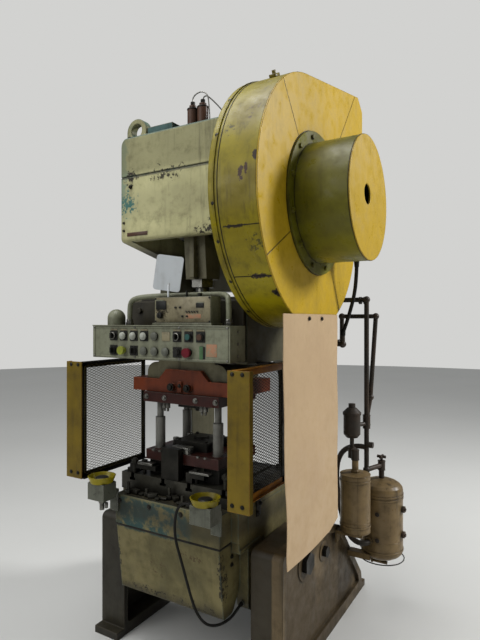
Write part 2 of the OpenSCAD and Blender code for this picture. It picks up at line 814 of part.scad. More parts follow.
module selector_4() selector(3);
module panel_bracket() color("#4c4a41") {
  back = panel_front + panel_d;
  both_sides() {
    block([185, 225], [back, -gib_front - 24], [panel_bottom + 40, panel_bottom + 110]);
    block([165, 245], [back, back + 8], [panel_bottom + 20, panel_bottom + 130]);
  }
}
module small_control_box() color("#7d7560") {
  block([-38, 278], [-338, -252], [panel_top, panel_top + 12]);
  block([-30, 270], [-330, -256], [panel_top + 12, 1700]);
  block([-24, 22], [-333, -330], [1652, 1690]);
  block([200, 236], [-333, -330], [1658, 1676]);
}
module sign_plate() color("#d8dad6") {
  translate([40, -322, 1806]) rotate([0, 8, 22]) along_y(-1.5, 1.5) polygon(rounded([
    [-62, -78, 14], [62, -78, 14], [62, 78, 14], [-62, 78, 14]
  ]));
  rod_z(40, -322, 1700, 1760, 5);
}
module panel_conduits() color("#7b7a62") {
  tube(smooth([
    [-220, -285, panel_top + 0.5], [-220, -285, 1640], [-212, -285, 1682], [-180, -280, 1702], [-100, -262, 1710],
    [40, -236, 1712], [220, -236, 1712], [300, -258, 1704], [326, -280, 1670], [330, -285, panel_top + 0.5]
  ], 3), 12, [0, 1, 0], 12);
  rod_z(-290, -300, panel_top, panel_top + 34, 42);
  translate([-290, -300, panel_top + 34]) difference() {
    sphere(r = 42);
    translate([-60, -60, -60]) cube([120, 120, 60]);
  }
}

module palm_box() {
  difference() {
    block(
      [palm_x - palm_box_w / 2, palm_x + palm_box_w / 2],
      [palm_y - palm_box_d / 2, palm_y + palm_box_d / 2],
      [palm_box_z, palm_top]
    );
    block(
      [palm_x - palm_box_w / 2 + 4, palm_x + palm_box_w / 2 - 4],
      [palm_y - palm_box_d / 2 + 4, palm_y + palm_box_d / 2 - 4],
      [palm_box_z + 4, palm_top - 6]
    );
    rod_z(palm_x, palm_y, palm_top - 10, palm_top + 5, stem_r);
  }
  block([palm_x - 25, palm_x + 25], [palm_y + palm_box_d / 2, -bed_front], [palm_box_z + 10, palm_box_z + 26]);
  block([palm_x - 25, palm_x + 25], [-bed_front - 8, -bed_front], [bed_under + 60, palm_box_z + 10]);
}
module both_palms() {
  translate([palm_shift, 0, 0]) both_sides() children();
}
module palm_boxes() color("#6d6e66") {
  both_palms() palm_box();
  rod_x(cable_start[0] + seat, palm_x + palm_shift - palm_box_w / 2, cable_start[1], cable_start[2], 11);
  rod_y(cable_end[0], cable_end[1] + seat, body_front, cable_end[2], 11);
}
module ring_guards() color("#b7a834") {
  both_palms() translate([palm_x, palm_y, palm_top]) rotate_extrude($fn = 64) polygon([
    [ring_d / 2 - 17, 0], [ring_d / 2 - 12, 0], [ring_d / 2 - 9, 8], [ring_d / 2, 30], [ring_d / 2 - 4, 32],
    [ring_d / 2 - 13, 9]
  ]);
}
module palm_button(x) color("#33302b") {
  rod_z(x, palm_y, palm_top - 8, palm_top + palm_travel + 4, stem_r - button_gap);
  rod_z(x, palm_y, palm_top + palm_travel + 4, palm_top + palm_travel + 20, 30);
}
module left_palm_button() palm_button(palm_shift - palm_x);
module right_palm_button() palm_button(palm_shift + palm_x);

// Folded angle, its wide leg to the front and its short leg outside
module guard_post() {
  linear_extrude(guard_post_h) polygon([
    [guard_post_x - guard_post_w, guard_post_y], [guard_post_x, guard_post_y], [guard_post_x, guard_post_y + 28],
    [guard_post_x - post_t, guard_post_y + 28], [guard_post_x - post_t, guard_post_y + post_t],
    [guard_post_x - guard_post_w, guard_post_y + post_t]
  ]);
}
module guard_posts() color("#a8841f") translate([guard_shift, 0, guard_post_z]) both_sides() guard_post();
// Framed sheet of expanded metal, carried by lugs on the frame's side
module mesh_panel() {
  y0 = guard_post_y + post_t;
  y1 = y0 + mesh_l;
  x0 = mesh_x - rail / 2;
  x1 = mesh_x + rail / 2;
  z0 = guard_post_z;
  along_x(mesh_x - mesh_t / 2, mesh_x + mesh_t / 2) difference() {
    translate([y0 + rail, z0 + rail]) square([mesh_l - 2 * rail, mesh_top - z0 - 2 * rail]);
    pitch_y = (mesh_l - 2 * rail) / mesh_columns;
    pitch_z = (mesh_top - z0 - 2 * rail) / mesh_rows;
    for (i = [0:mesh_columns - 1], k = [0:mesh_rows - 1])
      translate([y0 + rail + (i + 0.5) * pitch_y, z0 + rail + (k + 0.5) * pitch_z])
        polygon([[-pitch_y * 0.44, 0], [0, -pitch_z * 0.44], [pitch_y * 0.44, 0], [0, pitch_z * 0.44]]);
  }
  block([x0, x1], [y0, y1], [z0, z0 + rail]);
  block([x0, x1], [y0, y1], [mesh_top - rail, mesh_top]);
  block([x0, x1], [y0, y0 + rail], [z0 + rail, mesh_top - rail]);
  block([x0, x1], [y1 - rail, y1], [z0 + rail, mesh_top - rail]);
  block([half_crown, x0], [y1 - 110, y1 - 60], [mesh_top - 8, mesh_top + 22]);
  block([x0, x1], [y1 - 110, y1 - 60], [mesh_top, mesh_top + 22]);
  block([half_crown, x0], [-60, -20], [z0 - 6, z0]);
  block([half_crown, half_crown + 6], [-60, -20], [bed_top - 70, z0 - 6]);
  block([x0, x1], [-60, -20], [z0 - 6, z0]);
}
module left_mesh_panel() color("#8a8232") mirror([1, 0, 0]) mesh_panel();
module right_mesh_panel() color("#6f6a35") mesh_panel();

module motor() color("#4f5a55") {
  difference() {
    union() {
      rod_x(motor_start_x + 45, motor_end_x - 40, motor_y, motor_z, motor_r - 8);
      rod_x(motor_start_x, motor_start_x + 45, motor_y, motor_z, motor_r);
      rod_x(motor_end_x - 40, motor_end_x, motor_y, motor_z, motor_r);
      for (a = [0:20:340]) translate([motor_start_x + 45, motor_y, motor_z]) rotate([a, 0, 0])
        translate([0, 90, -2]) cube([motor_end_x - motor_start_x - 85, 23, 4]);
      for (x = [motor_start_x + 60, motor_end_x - 100])
        block([x, x + 40], [motor_y - 95, motor_y + 95], [crown_top, motor_z - 70]);
    }
    rod_x(motor_end_x - 80, motor_end_x + 1, motor_y, motor_z, motor_shaft_r + running_fit);
  }
}
module motor_bracket() color("#4c4a41") {
  block([motor_start_x + 20, motor_end_x - 20], [crown_back, motor_y + 115], [crown_top - 16, crown_top]);
  for (x = [motor_start_x + 30, motor_end_x - 45]) along_x(x, x + 15) polygon([
    [crown_back, crown_top - 16], [motor_y + 90, crown_top - 16], [motor_y + 90, crown_top - 40],
    [crown_back + 45, crown_top - 200], [crown_back + 45, crown_top - 16 - 190], [crown_back, crown_top - 120]
  ]);
}

// Domed tank with raised bands, given as fractions of its height
module domed_tank(at, d, h, dome, bands) {
  r = d / 2;
  translate([at[0], at[1], at[2]]) rotate_extrude($fn = 64) polygon(concat(
    [for (a = [0:15:90]) [r * sin(a), dome * (1 - cos(a))]],
    [for (b = bands) each [[r, h * b], [r + 3, h * b], [r + 3, h * b + 10], [r, h * b + 10]]],
    [for (a = [90:-15:0]) [r * sin(a), h - dome * (1 - cos(a))]]
  ));
}
module air_tanks() color("#8f8566") {
  front = big_tank[1] - big_tank_d / 2;
  drain_y = big_tank[1] - 30;
  domed_tank(big_tank, big_tank_d, big_tank_h, 55, [0.13, 0.77, 0.81]);
  domed_tank(small_tank, small_tank_d, small_tank_h, 12, [0.12, 0.86]);
  for (z = [0.34, 0.65])
    rod_x(big_tank[0], big_tank[0] + big_tank_d / 2 + 14, big_tank[1], big_tank[2] + big_tank_h * z, 17);
  rod_y(drop_end[0], drop_end[1] + 4, big_tank[1], drop_end[2], 20);
  block([leg_out, big_tank[0] - 30], [front - 5, front + 45], [big_tank[2] + 20, big_tank[2] + 50]);
  block([leg_out, small_tank[0] + 50], [small_tank[1] - 45, small_tank[1] + 15], [small_tank[2] - 12, small_tank[2] + 6]);
  block([leg_out, leg_out + 8], [small_tank[1] - 45, small_tank[1] + 5], [small_tank[2] - 60, small_tank[2] - 12]);
  rod_z(big_tank[0], drain_y, big_tank[2] - 16, big_tank[2] + 12, 10);
  rod_x(big_tank[0] - 40, big_tank[0] + 40, drain_y, big_tank[2] - 12, 9);
  rod_x(big_tank[0] - 48, big_tank[0] - 40, drain_y, big_tank[2] - 12, 14);
}
module pipe_run(points, r) {
  for (i = [0:len(points) - 2]) {
    a = points[i];
    b = points[i + 1];
    d = b - a;
    translate(a) rotate([0, acos(d[2] / norm(d)), atan2(d[1], d[0])]) cylinder(r = r, h = norm(d), $fn = 32);
  }
  for (i = [1:len(points) - 2]) translate(points[i]) sphere(r = r + 6, $fn = 24);
}
// Filter bowl with a cone on top, spun round its own axis
module filter_bowl() {
  translate(bowl) rotate_extrude($fn = 48) polygon([
    [0, 0], [30, 0], [bowl_r, 18], [bowl_r, 120], [bowl_r + 4, 120], [bowl_r + 4, 132], [24, 156], [18, 158],
    [18, 178], [0, 178]
  ]);
}
module collar(at) {
  rod_z(at[0], at[1], at[2] - 26, at[2] + 26, pipe_r + 7);
}
module air_piping() color("#3a352f") {
  tee_z = bowl[2] + 60;
  join_z = 1060;
  pipe_run([
    [half_crown, 420, 1710], [pipe_out, 420, 1710], [pipe_out, riser[1], 1710], [riser[0], riser[1], 1710],
    [riser[0], riser[1], valve_z], [big_tank[0], big_tank[1], valve_z]
  ], pipe_r);
  for (x = [-40, -14]) rod_x(riser[0] + x, riser[0] + x + 12, riser[1], 1706, pipe_r + 7);
  collar([big_tank[0], big_tank[1], valve_z]);
  rod_z(big_tank[0], big_tank[1], big_tank[2] + big_tank_h, valve_z - 20, pipe_r + 2);
  pipe_run([
    hose_end + [0, 0, 0], hose_end - [0, 0, 45], [pipe_out + 50, hose_end[1], hose_end[2] - 45],
    [pipe_out + 50, 676, hose_end[2] - 45], [pipe_out + 50, 676, 1620], [672, 676, 1620], [646, 664, join_z + 120],
    [riser[0], riser[1], join_z]
  ], pipe_r - 1);
  collar([riser[0], riser[1], join_z]);
  rod_x(riser[0], riser[0] + 36, riser[1], 926, 16);
  filter_bowl();
  pipe_run([[bowl[0], bowl[1], tee_z], [riser[0], riser[1], tee_z]], pipe_r - 2);
  collar([riser[0], riser[1], tee_z]);
  rod_z(bowl[0], bowl[1], 900, bowl[2] + 10, pipe_r - 2);
  pipe_run([[bowl[0], bowl[1], 900], [small_tank[0], small_tank[1], 900]], pipe_r - 3);
  collar([bowl[0], bowl[1], 900]);
  collar([small_tank[0], small_tank[1], 900]);
  rod_z(small_tank[0], small_tank[1], small_tank[2] + small_tank_h, 880, pipe_r - 1);
  drop_pipe();
}
// Thick line that leaves the riser, bows out past the small tank and enters the foot of the large one
module drop_pipe() {
  tube(smooth([
    [riser[0], riser[1], 910], [595, 634, 914], [550, 614, 908], [515, 597, 884], [494, 585, 840], [486, 580, 780],
    [488, 580, 700], [496, 583, 620], [512, 588, 540], [538, 595, 460], [566, 600, 419], [600, 604, 402],
    [628, 616, drop_end[2]], drop_end - [0, 8, 0], drop_end
  ], 3), 14, [0, 1, 0.1], 12);
}
// Cross handle on the stop valve above the large tank
module valve_handle() color("#6a5a44") {
  rod_z(big_tank[0], big_tank[1], valve_z + 26, valve_z + 44, 7);
  rod_x(big_tank[0] - 24, big_tank[0] + 24, big_tank[1], valve_z + 48, 8);
  rod_y(big_tank[0], big_tank[1] - 24, big_tank[1] + 24, valve_z + 48, 8);
}
module palm_cable() color("#17150f")
  tube(concat([cable_start], smooth(cable_route, 4), [cable_end]), cable_r, [0, 0.2, 1], 10);

// Outline of a belt round the flywheel and the motor pulley, with open-belt tangents
function belt_outline(r_big, r_small) =
  let (
    gap = [motor_y, motor_z - crank_z],
    way = atan2(gap[1], gap[0]),
    lean = acos((r_big - r_small) / norm(gap)),
    n_big = 60,
    n_small = 14
  )
  concat(
    [for (i = [0:n_big]) let (a = way + lean + (360 - 2 * lean) * i / n_big)
      [r_big * cos(a), crank_z + r_big * sin(a)]],
    [for (i = [0:n_small]) let (a = way - lean + 2 * lean * i / n_small)
      [motor_y + r_small * cos(a), motor_z + r_small * sin(a)]]
  );
module v_belts() color("#1b1a18") {
  for (i = [0:belts - 1]) along_x(belt_x0 + i * belt_pitch, belt_x0 + i * belt_pitch + belt_w) difference() {
    polygon(belt_outline(flywheel_r - 1, pulley_r - 1));
    polygon(belt_outline(flywheel_r - 1 - belt_t, pulley_r - 1 - belt_t));
  }
}
// Half section of a grooved rim, as [radius, along the axis] points
function grooves(r, x0) = [for (i = [0:belts - 1], k = [0:3])
  let (
    left = belt_x0 + i * belt_pitch - belt_flank - x0,
    right = belt_x0 + i * belt_pitch + belt_w + belt_flank - x0
  )
  [[r, left], [r - groove_depth, left], [r - groove_depth, right], [r, right]][k]];
module spun(x0, y, z) {
  translate([x0, y, z]) rotate([0, 90, 0]) rotate_extrude($fn = 96) children();
}
module flywheel() color("#6b675c") {
  bore = tail_r + running_fit;
  difference() {
    spun(flywheel_x, 0, crank_z) polygon(concat(
      [[bore, 0], [bore + 65, 0], [bore + 65, 45], [flywheel_r - 95, 45], [flywheel_r - 85, 0], [flywheel_r, 0]],
      grooves(flywheel_r, flywheel_x),
      [
        [flywheel_r, flywheel_w], [flywheel_r - 85, flywheel_w], [flywheel_r - 95, 105], [bore + 65, 105],
        [bore + 65, flywheel_w], [bore, flywheel_w]
      ]
    ));
    for (a = [0:60:300])
      rod_x(flywheel_x + 30, flywheel_x + 120, 270 * cos(a), crank_z + 270 * sin(a), 62);
  }
}
module motor_pulley() color("#55524a") {
  back = belt_x0 - 14;
  wide = belt_pitch * belts + 22;
  spun(back, motor_y, motor_z) polygon(concat(
    [[0, 0], [pulley_r, 0]],
    grooves(pulley_r, back),
    [[pulley_r, wide], [0, wide]]
  ));
  rod_x(motor_end_x - 75, back, motor_y, motor_z, motor_shaft_r);
}
module crankshaft() color("#8b8b88") {
  rod_x(-half_crown - 20, -web_gap - web_t, 0, crank_z, journal_r);
  rod_x(web_gap + web_t, guard_back_x, 0, crank_z, journal_r);
  rod_x(-web_gap - web_t, -web_gap, 0, crank_z, web_r);
  rod_x(web_gap, web_gap + web_t, 0, crank_z, web_r);
  rod_x(-web_gap, web_gap, 0, pin_z, crankpin_r);
  rod_x(guard_back_x, flywheel_x - slide_gap, 0, crank_z, tail_r + 10);
  rod_x(flywheel_x - slide_gap, shaft_end_x, 0, crank_z, tail_r);
}
module clutch_hub() color("#7a7466") {
  start = flywheel_end + 4;
  spun(start, 0, crank_z) polygon([
    [tail_r, 0], [tail_r + 40, 0], [tail_r + 40, 40], [housing_r - 50, 40], [housing_r - 50, 66], [tail_r + 60, 66],
    [tail_r + 60, 84], [housing_r - 50, 84], [housing_r - 50, 112], [tail_r + 40, 130], [tail_r + 30, shaft_end_x - start - 12],
    [tail_r, shaft_end_x - start - 12]
  ]);
}

module pitman() color("#8a8468") {
  difference() {
    union() {
      rod_x(-rod_side, rod_side, 0, pin_z, crankpin_r + rod_strap);
      along_x(-rod_side + 12, rod_side - 12) polygon([
        [-80, pin_z - 40], [-56, ball_z + 205], [56, ball_z + 205], [80, pin_z - 40]
      ]);
      block([-14, 14], [-96, -50], [ball_z + 210, pin_z - 70]);
      for (y = [-88, 88], x = [-45, 45]) rod_z(x, y * 1.02, pin_z - 45, pin_z + 45, 14);
    }
    rod_x(-rod_side - 5, rod_side + 5, 0, pin_z, crankpin_r + running_fit);
  }
}
module adjusting_screw() color("#77756d") {
  rod_z(0, 0, ball_z, ball_z + 205, screw_r);
  rod_z(0, 0, ball_z + 165, ball_z + 204, screw_r + 24, 6);
  translate([0, 0, ball_z]) sphere(r = ball_r, $fn = 48);
}
module slide() color("#a59f7e") {
  half_depth = slide_d / 2;
  difference() {
    union() {
      block([-half_slide, half_slide], [-half_depth, half_depth], [slide_z, slide_z + slide_h]);
      block([-half_slide - ear_reach, half_slide + ear_reach], [-ear_half, ear_half], [slide_z + 82, slide_z + slide_h]);
      along_y(-half_depth, half_depth) polygon(rounded([
        [-slide_flange_w / 2, slide_z, 0], [slide_flange_w / 2, slide_z, 0],
        [slide_flange_w / 2, slide_z + slide_flange_h, 55], [-slide_flange_w / 2, slide_z + slide_flange_h, 55]
      ]));
    }
    block([-rod_well_x, rod_well_x], [-rod_well_y, rod_well_y], [rod_well_floor, slide_z + slide_h + 1]);
  }
}
module ram_plate() color("#8f3c22") {
  half = ram_plate_w / 2;
  block([-half, half], [ram_front, 140], [ram_bottom, slide_z]);
  along_y(ram_front, -slide_d / 2) polygon([
    [-145, slide_z], [145, slide_z], [100, ram_lip_z], [-100, ram_lip_z]
  ]);
  for (x = [-60, 35]) rod_y(x, ram_front - 18, ram_front, slide_z - 34, 17);
  block([-22, -2], [ram_front - 10, ram_front], [slide_z - 56, slide_z - 6]);
}
module upper_die_set() color("#8c2f2a") {
  half = shoe_w / 2;
  block([-half, half], [-190, 150], [upper_shoe_z, ram_bottom]);
  for (x = [-post_x, post_x], y = [post_front, post_back])
    rod_z(x, y, bushing_top - post_engaged, upper_shoe_z, post_r);
}
module punch_block() color("#4b4a45") {
  block([-80, 80], [-95, 75], [upper_shoe_z - 30, upper_shoe_z]);
  rod_z(0, -10, upper_shoe_z - 52, upper_shoe_z - 30, 32);
}

press() frame_casting();
press() left_leg();
press() right_leg();
press() leg_bolts();
press() crown_top_plate();
press() lubricator();
press() main_bearings();
press() left_bearing_cap();
press() gibs();
press() bolster_plate();
press() clamps_and_parallels();
press() lower_die_set();
press() die_block();
press() guard_back();
press() guard_band();
press() guard_face();
press() clutch_housing();
press() clutch_end_cover();
press() air_union_pipe();
press() clutch_hose();
press() hanging_sheet();
press() control_panel();
press() panel_bracket();
press() panel_fittings();
press() teal_button();
press() brown_button();
press() yellow_button();
press() red_button();
press() black_button();
press() selector_1();
press() selector_2();
press() selector_3();
press() selector_4();
press() small_control_box();
press() sign_plate();
press() panel_conduits();
press() palm_boxes();
press() ring_guards();
press() left_palm_button();
press() right_palm_button();
press() guard_posts();
press() left_mesh_panel();
press() right_mesh_panel();
press() motor();
press() motor_bracket();
press() air_tanks();
press() air_piping();
press() valve_handle();
press() palm_cable();
press() v_belts();
press() flywheel();
press() motor_pulley();
press() crankshaft();
press() clutch_hub();
press() pitman();
press() adjusting_screw();
press() slide();
press() ram_plate();
press() upper_die_set();
press() punch_block();
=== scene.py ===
import math
import random

import bmesh
import bpy
from mathutils import Matrix, Vector


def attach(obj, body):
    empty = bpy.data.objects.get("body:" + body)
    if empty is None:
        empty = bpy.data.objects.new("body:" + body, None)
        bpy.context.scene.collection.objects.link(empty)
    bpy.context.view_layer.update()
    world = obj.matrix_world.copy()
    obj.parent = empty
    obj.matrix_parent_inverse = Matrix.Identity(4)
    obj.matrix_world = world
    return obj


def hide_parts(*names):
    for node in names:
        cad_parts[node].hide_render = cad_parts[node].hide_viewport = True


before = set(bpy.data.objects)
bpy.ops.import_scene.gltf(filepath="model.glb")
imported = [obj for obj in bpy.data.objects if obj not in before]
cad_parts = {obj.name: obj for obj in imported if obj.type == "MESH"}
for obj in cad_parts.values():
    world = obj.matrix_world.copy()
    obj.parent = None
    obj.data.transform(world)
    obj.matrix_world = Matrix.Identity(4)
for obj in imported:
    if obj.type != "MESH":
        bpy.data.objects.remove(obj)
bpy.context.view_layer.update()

bl_info = {
    "name": "Mechanical stamping press",
    "version": (1, 1, 0),
    "blender": (4, 5, 0),
    "location": "3D View > Sidebar > Press",
    "description": "Dresses a gap-frame stamping press in worn paint, sheet metal and fittings",
    "category": "Object",
}

# Places are given in millimetres from the crankshaft's plane, the slide's centre line and the floor
PRESS_SHIFT = -0.370  # from the crankshaft's plane to the middle of the floor bolts, in metres
CRANK = (0, 2105)  # the crankshaft's axis, along Y and up
BAND_R = 540  # radius of the guard's band
CELL_DIAGONAL = 1414.2  # a square cell's diagonal, in thousandths of its side
RIGHT_STRAND = 0.62  # the left sheet's strand over the right one's
PALM_Y = -385  # the middle of the palm boxes
BOX_FRONT = -330  # the front of the small box on the control panel
BED_TOP = 775  # the ledge that the loose studs stand on
SHOE_TOP = 973  # the lower die shoe's top

# Routes of the free cable from the right palm box and of the clutch's air hose
CABLE_ROUTE = [
    (214, -385, 834), (208, -385, 834), (184, -385, 836), (160, -384.5, 829), (140, -383.5, 808),
    (126, -382, 772), (119, -379, 725), (119, -375, 680), (125, -370, 640), (136, -365, 598),
    (149, -358, 545), (167, -350, 474), (187, -342, 404), (205, -328, 350), (225, -304, 310),
    (247, -272, 291), (270, -236, 291), (290, -203, 305), (302, -174, 327), (306, -152, 339),
    (306, -141, 340),
]
HOSE_ROUTE = [
    (700, 262, 1886), (700, 262, 1878), (696, 272, 1830), (684, 292, 1760), (668, 308, 1700),
    (646, 324, 1640), (622, 338, 1580), (600, 350, 1531), (600, 350, 1525),
]
# Routes of the lubricator's two thin lines
OIL_ROUTES = [
    [
        (19, -110, 2638), (22, -112, 2658), (45, -116, 2672), (80, -120, 2672),
        (110, -122, 2650), (120, -122, 2600), (126, -124, 2520), (127, -124, 2496),
    ],
    [
        (77, -110, 2638), (86, -108, 2654), (104, -100, 2650), (150, -80, 2600), (190, -60, 2540),
        (200, -60, 2496),
    ],
]


# Small tools


def linear(hex_colour):
    """sRGB hex to the linear colour that a shader takes."""
    parts = [int(hex_colour[i : i + 2], 16) / 255 for i in (1, 3, 5)]
    return (*[p / 12.92 if p <= 0.04045 else ((p + 0.055) / 1.055) ** 2.4 for p in parts], 1.0)


# Shader nodes by short name: their type and their settings
KINDS = {
    "coords": ("ShaderNodeTexCoord", {}),
    "split": ("ShaderNodeSeparateXYZ", {}),
    "mapping": ("ShaderNodeMapping", {}),
    "length": ("ShaderNodeVectorMath", {"operation": "LENGTH"}),
    "dot": ("ShaderNodeVectorMath", {"operation": "DOT_PRODUCT"}),
    "noise": ("ShaderNodeTexNoise", {}),
    "mix": ("ShaderNodeMix", {"data_type": "RGBA", "clamp_factor": True}),
    "rise": ("ShaderNodeMapRange", {"clamp": True, "interpolation_type": "SMOOTHSTEP"}),
    "range": ("ShaderNodeMapRange", {"clamp": True}),
    "times": ("ShaderNodeMath", {"operation": "MULTIPLY"}),
    "plus": ("ShaderNodeMath", {"operation": "ADD"}),
    "size": ("ShaderNodeMath", {"operation": "ABSOLUTE"}),
    "most": ("ShaderNodeMath", {"operation": "MAXIMUM"}),
    "scaled_sum": ("ShaderNodeMath", {"operation": "MULTIPLY_ADD"}),
    "shape": ("ShaderNodeNewGeometry", {}),
    "corner": ("ShaderNodeAmbientOcclusion", {"samples": 4}),
    "round_edge": ("ShaderNodeBevel", {"samples": 4}),
    "bump": ("ShaderNodeBump", {}),
    "ray": ("ShaderNodeLightPath", {}),
    "background": ("ShaderNodeBackground", {}),
    "mix_shader": ("ShaderNodeMixShader", {}),
    "world": ("ShaderNodeOutputWorld", {}),
    "surface": ("ShaderNodeOutputMaterial", {}),
    "principled": ("ShaderNodeBsdfPrincipled", {}),
}


def add(tree, kind, inputs=()):
    """Adds a node with its settings, and sets or links its inputs."""
    node_type, settings = KINDS[kind]
    node = tree.nodes.new(node_type)
    for name, value in settings.items():
        setattr(node, name, value)
    for key, value in dict(inputs).items():
        if isinstance(value, bpy.types.Node):
            value = next(socket for socket in value.outputs if socket.enabled)
        if isinstance(value, bpy.types.NodeSocket):
            tree.links.new(value, node.inputs[key])
        else:
            node.inputs[key].default_value = value
    return node


def place(point):
    """A point in millimetres from the crankshaft's plane, in the press's own frame in metres."""
    return Vector((point[0] / 1000, point[1] / 1000 + PRESS_SHIFT, point[2] / 1000))


def finish_piece(name, bm, finish_name, body="frame", sharp=35, replaces=(), tidy=True):
    """Turns a bmesh into a piece that rides on a body, smooth apart from its sharp edges."""
    if tidy:
        bmesh.ops.recalc_face_normals(bm, faces=bm.faces)
    mesh = bpy.data.meshes.new(name)
    bm.to_mesh(mesh)
    bm.free()
    mesh.materials.append(finish(finish_name))
    mesh.shade_smooth()
    mesh.set_sharp_from_angle(angle=math.radians(sharp))
    return settle(bpy.data.objects.new(name, mesh), body, replaces)


def settle(piece, body="frame", replaces=()):
    """Puts a finished piece into the scene, on a body, and hides the parts that it replaces."""
    bpy.context.scene.collection.objects.link(piece)
    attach(piece, body)
    if replaces:
        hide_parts(*replaces)
    return piece


def box_into(bm, low, high, bevel=0.0, turn=None):
    """Adds a block between two corners, with rounded edges, turned about its own middle."""
    before = set(bm.verts)
    low, high = place(low), place(high)
    made = bmesh.ops.create_cube(bm, size=1.0)["verts"]
    bmesh.ops.scale(bm, vec=high - low, verts=made)
    if bevel:
        edges = list({e for v in made for e in v.link_edges})
        bmesh.ops.bevel(
            bm, geom=edges, offset=bevel / 1000, segments=2, affect="EDGES", profile=0.5, material=-1
        )
    made = [v for v in bm.verts if v not in before]
    if turn:
        bmesh.ops.rotate(bm, cent=(0, 0, 0), matrix=turn, verts=made)
    bmesh.ops.translate(bm, vec=(high + low) / 2, verts=made)
    return made


def rod_into(bm, start, end, radius, sides=20, radius_end=None, chamfer=0.0):
    """Adds a rod or a cone between two points, its rims rounded by a chamfer."""
    before = set(bm.verts)
    start, end = place(start), place(end)
    along = end - start
    made = bmesh.ops.create_cone(
        bm,
        cap_ends=True,
        segments=sides,
        radius1=radius / 1000,
        radius2=(radius if radius_end is None else radius_end) / 1000,
        depth=along.length,
    )["verts"]
    if chamfer:
        edges = {e for v in made for e in v.link_edges}
        rims = [e for e in edges if abs(e.verts[0].co.z - e.verts[1].co.z) < 1e-6]
        bmesh.ops.bevel(
            bm, geom=rims, offset=chamfer / 1000, segments=2, affect="EDGES", profile=0.5, material=-1
        )
    made = [v for v in bm.verts if v not in before]
    turn = along.to_track_quat("Z", "Y").to_matrix()
    bmesh.ops.rotate(bm, cent=(0, 0, 0), matrix=turn, verts=made)
    bmesh.ops.translate(bm, vec=(start + end) / 2, verts=made)
    return made


def bolt_into(bm, at, along, across=16, height=10, sides=6):
    """Adds a bolt head on its washer, standing on a face."""
    at, along = Vector(at), Vector(along).normalized()
    rod_into(bm, at, at + along * 2.5, across * 0.78, 20, chamfer=0.5)
    rod_into(bm, at + along * 2.2, at + along * height, across * 0.577, sides, chamfer=across * 0.05)


def dome_into(bm, at, along, radius, height, sides=24):
    """Adds a flat dome whose rim lies on a face."""
    before = set(bm.verts)
    bmesh.ops.create_uvsphere(bm, u_segments=sides, v_segments=12, radius=1.0)
    made = [v for v in bm.verts if v not in before]
    faces = list({f for v in made for f in v.link_faces})
    edges = list({e for v in made for e in v.link_edges})
    bmesh.ops.bisect_plane(
        bm, geom=made + edges + faces, plane_co=(0, 0, 0), plane_no=(0, 0, -1), clear_outer=True
    )
    made = [v for v in bm.verts if v not in before]
    bmesh.ops.scale(bm, vec=(radius / 1000, radius / 1000, height / 1000), verts=made)
    turn = Vector(along).to_track_quat("Z", "Y").to_matrix()
    bmesh.ops.rotate(bm, cent=(0, 0, 0), matrix=turn, verts=made)
    bmesh.ops.translate(bm, vec=place(at), verts=made)


def ring_into(bm, x_span, r_span, start=0.0, sweep=360.0, centre=CRANK, steps=96):
    """Adds a ring, or a part of one, of rectangular section about an axis along X."""
    before = set(bm.verts)
    bmesh.ops.create_grid(bm, x_segments=1, y_segments=1, size=0.5)
    made = [v for v in bm.verts if v not in before]
    bmesh.ops.scale(
        bm, vec=((x_span[1] - x_span[0]) / 1000, (r_span[1] - r_span[0]) / 1000, 1), verts=made
    )
    axis_at = place((0, centre[0], centre[1]))
    middle = Vector((sum(x_span) / 2000, sum(r_span) / 2000, 0))
    bmesh.ops.translate(bm, vec=middle + axis_at, verts=made)
    bmesh.ops.rotate(bm, cent=axis_at, matrix=Matrix.Rotation(math.radians(start), 3, "X"), verts=made)
    faces = list({f for v in made for f in v.link_faces})
    bmesh.ops.delete(bm, geom=faces, context="FACES_ONLY")
    edges = list({e for v in made for e in v.link_edges})
    bmesh.ops.spin(
        bm, geom=made + edges, cent=axis_at, axis=(1, 0, 0), angle=math.radians(sweep), steps=steps,
        use_duplicate=False,
    )
    made = [v for v in bm.verts if v not in before]
    bmesh.ops.remove_doubles(bm, verts=made, dist=1e-6)


def radial_box_into(bm, x_span, r_span, half_width, angle, bevel=0.0):
    """Adds a block that stands on the guard along a radius."""
    before = set(bm.verts)
    box_into(bm, (x_span[0], r_span[0], -half_width), (x_span[1], r_span[1], half_width), bevel)
    made = [v for v in bm.verts if v not in before]
    axis_at = place((0, 0, CRANK[1]))
    bmesh.ops.translate(bm, vec=(0, 0, CRANK[1] / 1000), verts=made)
    bmesh.ops.rotate(bm, cent=axis_at, matrix=Matrix.Rotation(math.radians(angle), 3, "X"), verts=made)


def on_guard(angle, radius, x):
    """A point on the guard by its angle about the crankshaft."""
    turn = math.radians(angle)
    return (x, radius * math.cos(turn), CRANK[1] + radius * math.sin(turn))


def off_guard(angle):
    """The direction straight out of the guard at an angle about the crankshaft."""
    return Vector(on_guard(angle, 1, 0)) - Vector((0, 0, CRANK[1]))


def cut(bm, point, normal, clear=False):
    """Cuts a whole bmesh along a plane, and clears what lies beyond it where that is asked."""
    whole = bm.verts[:] + bm.edges[:] + bm.faces[:]
    bmesh.ops.bisect_plane(bm, geom=whole, plane_co=point, plane_no=normal, clear_outer=clear)


def stand_up(bm, at):
    """Turns a flat sheet to face along X, with its middle at a point."""
    turn = Matrix(((0, 0, 1), (1, 0, 0), (0, 1, 0)))
    bmesh.ops.rotate(bm, cent=(0, 0, 0), matrix=turn, verts=bm.verts)
    bmesh.ops.translate(bm, vec=place(at), verts=bm.verts)


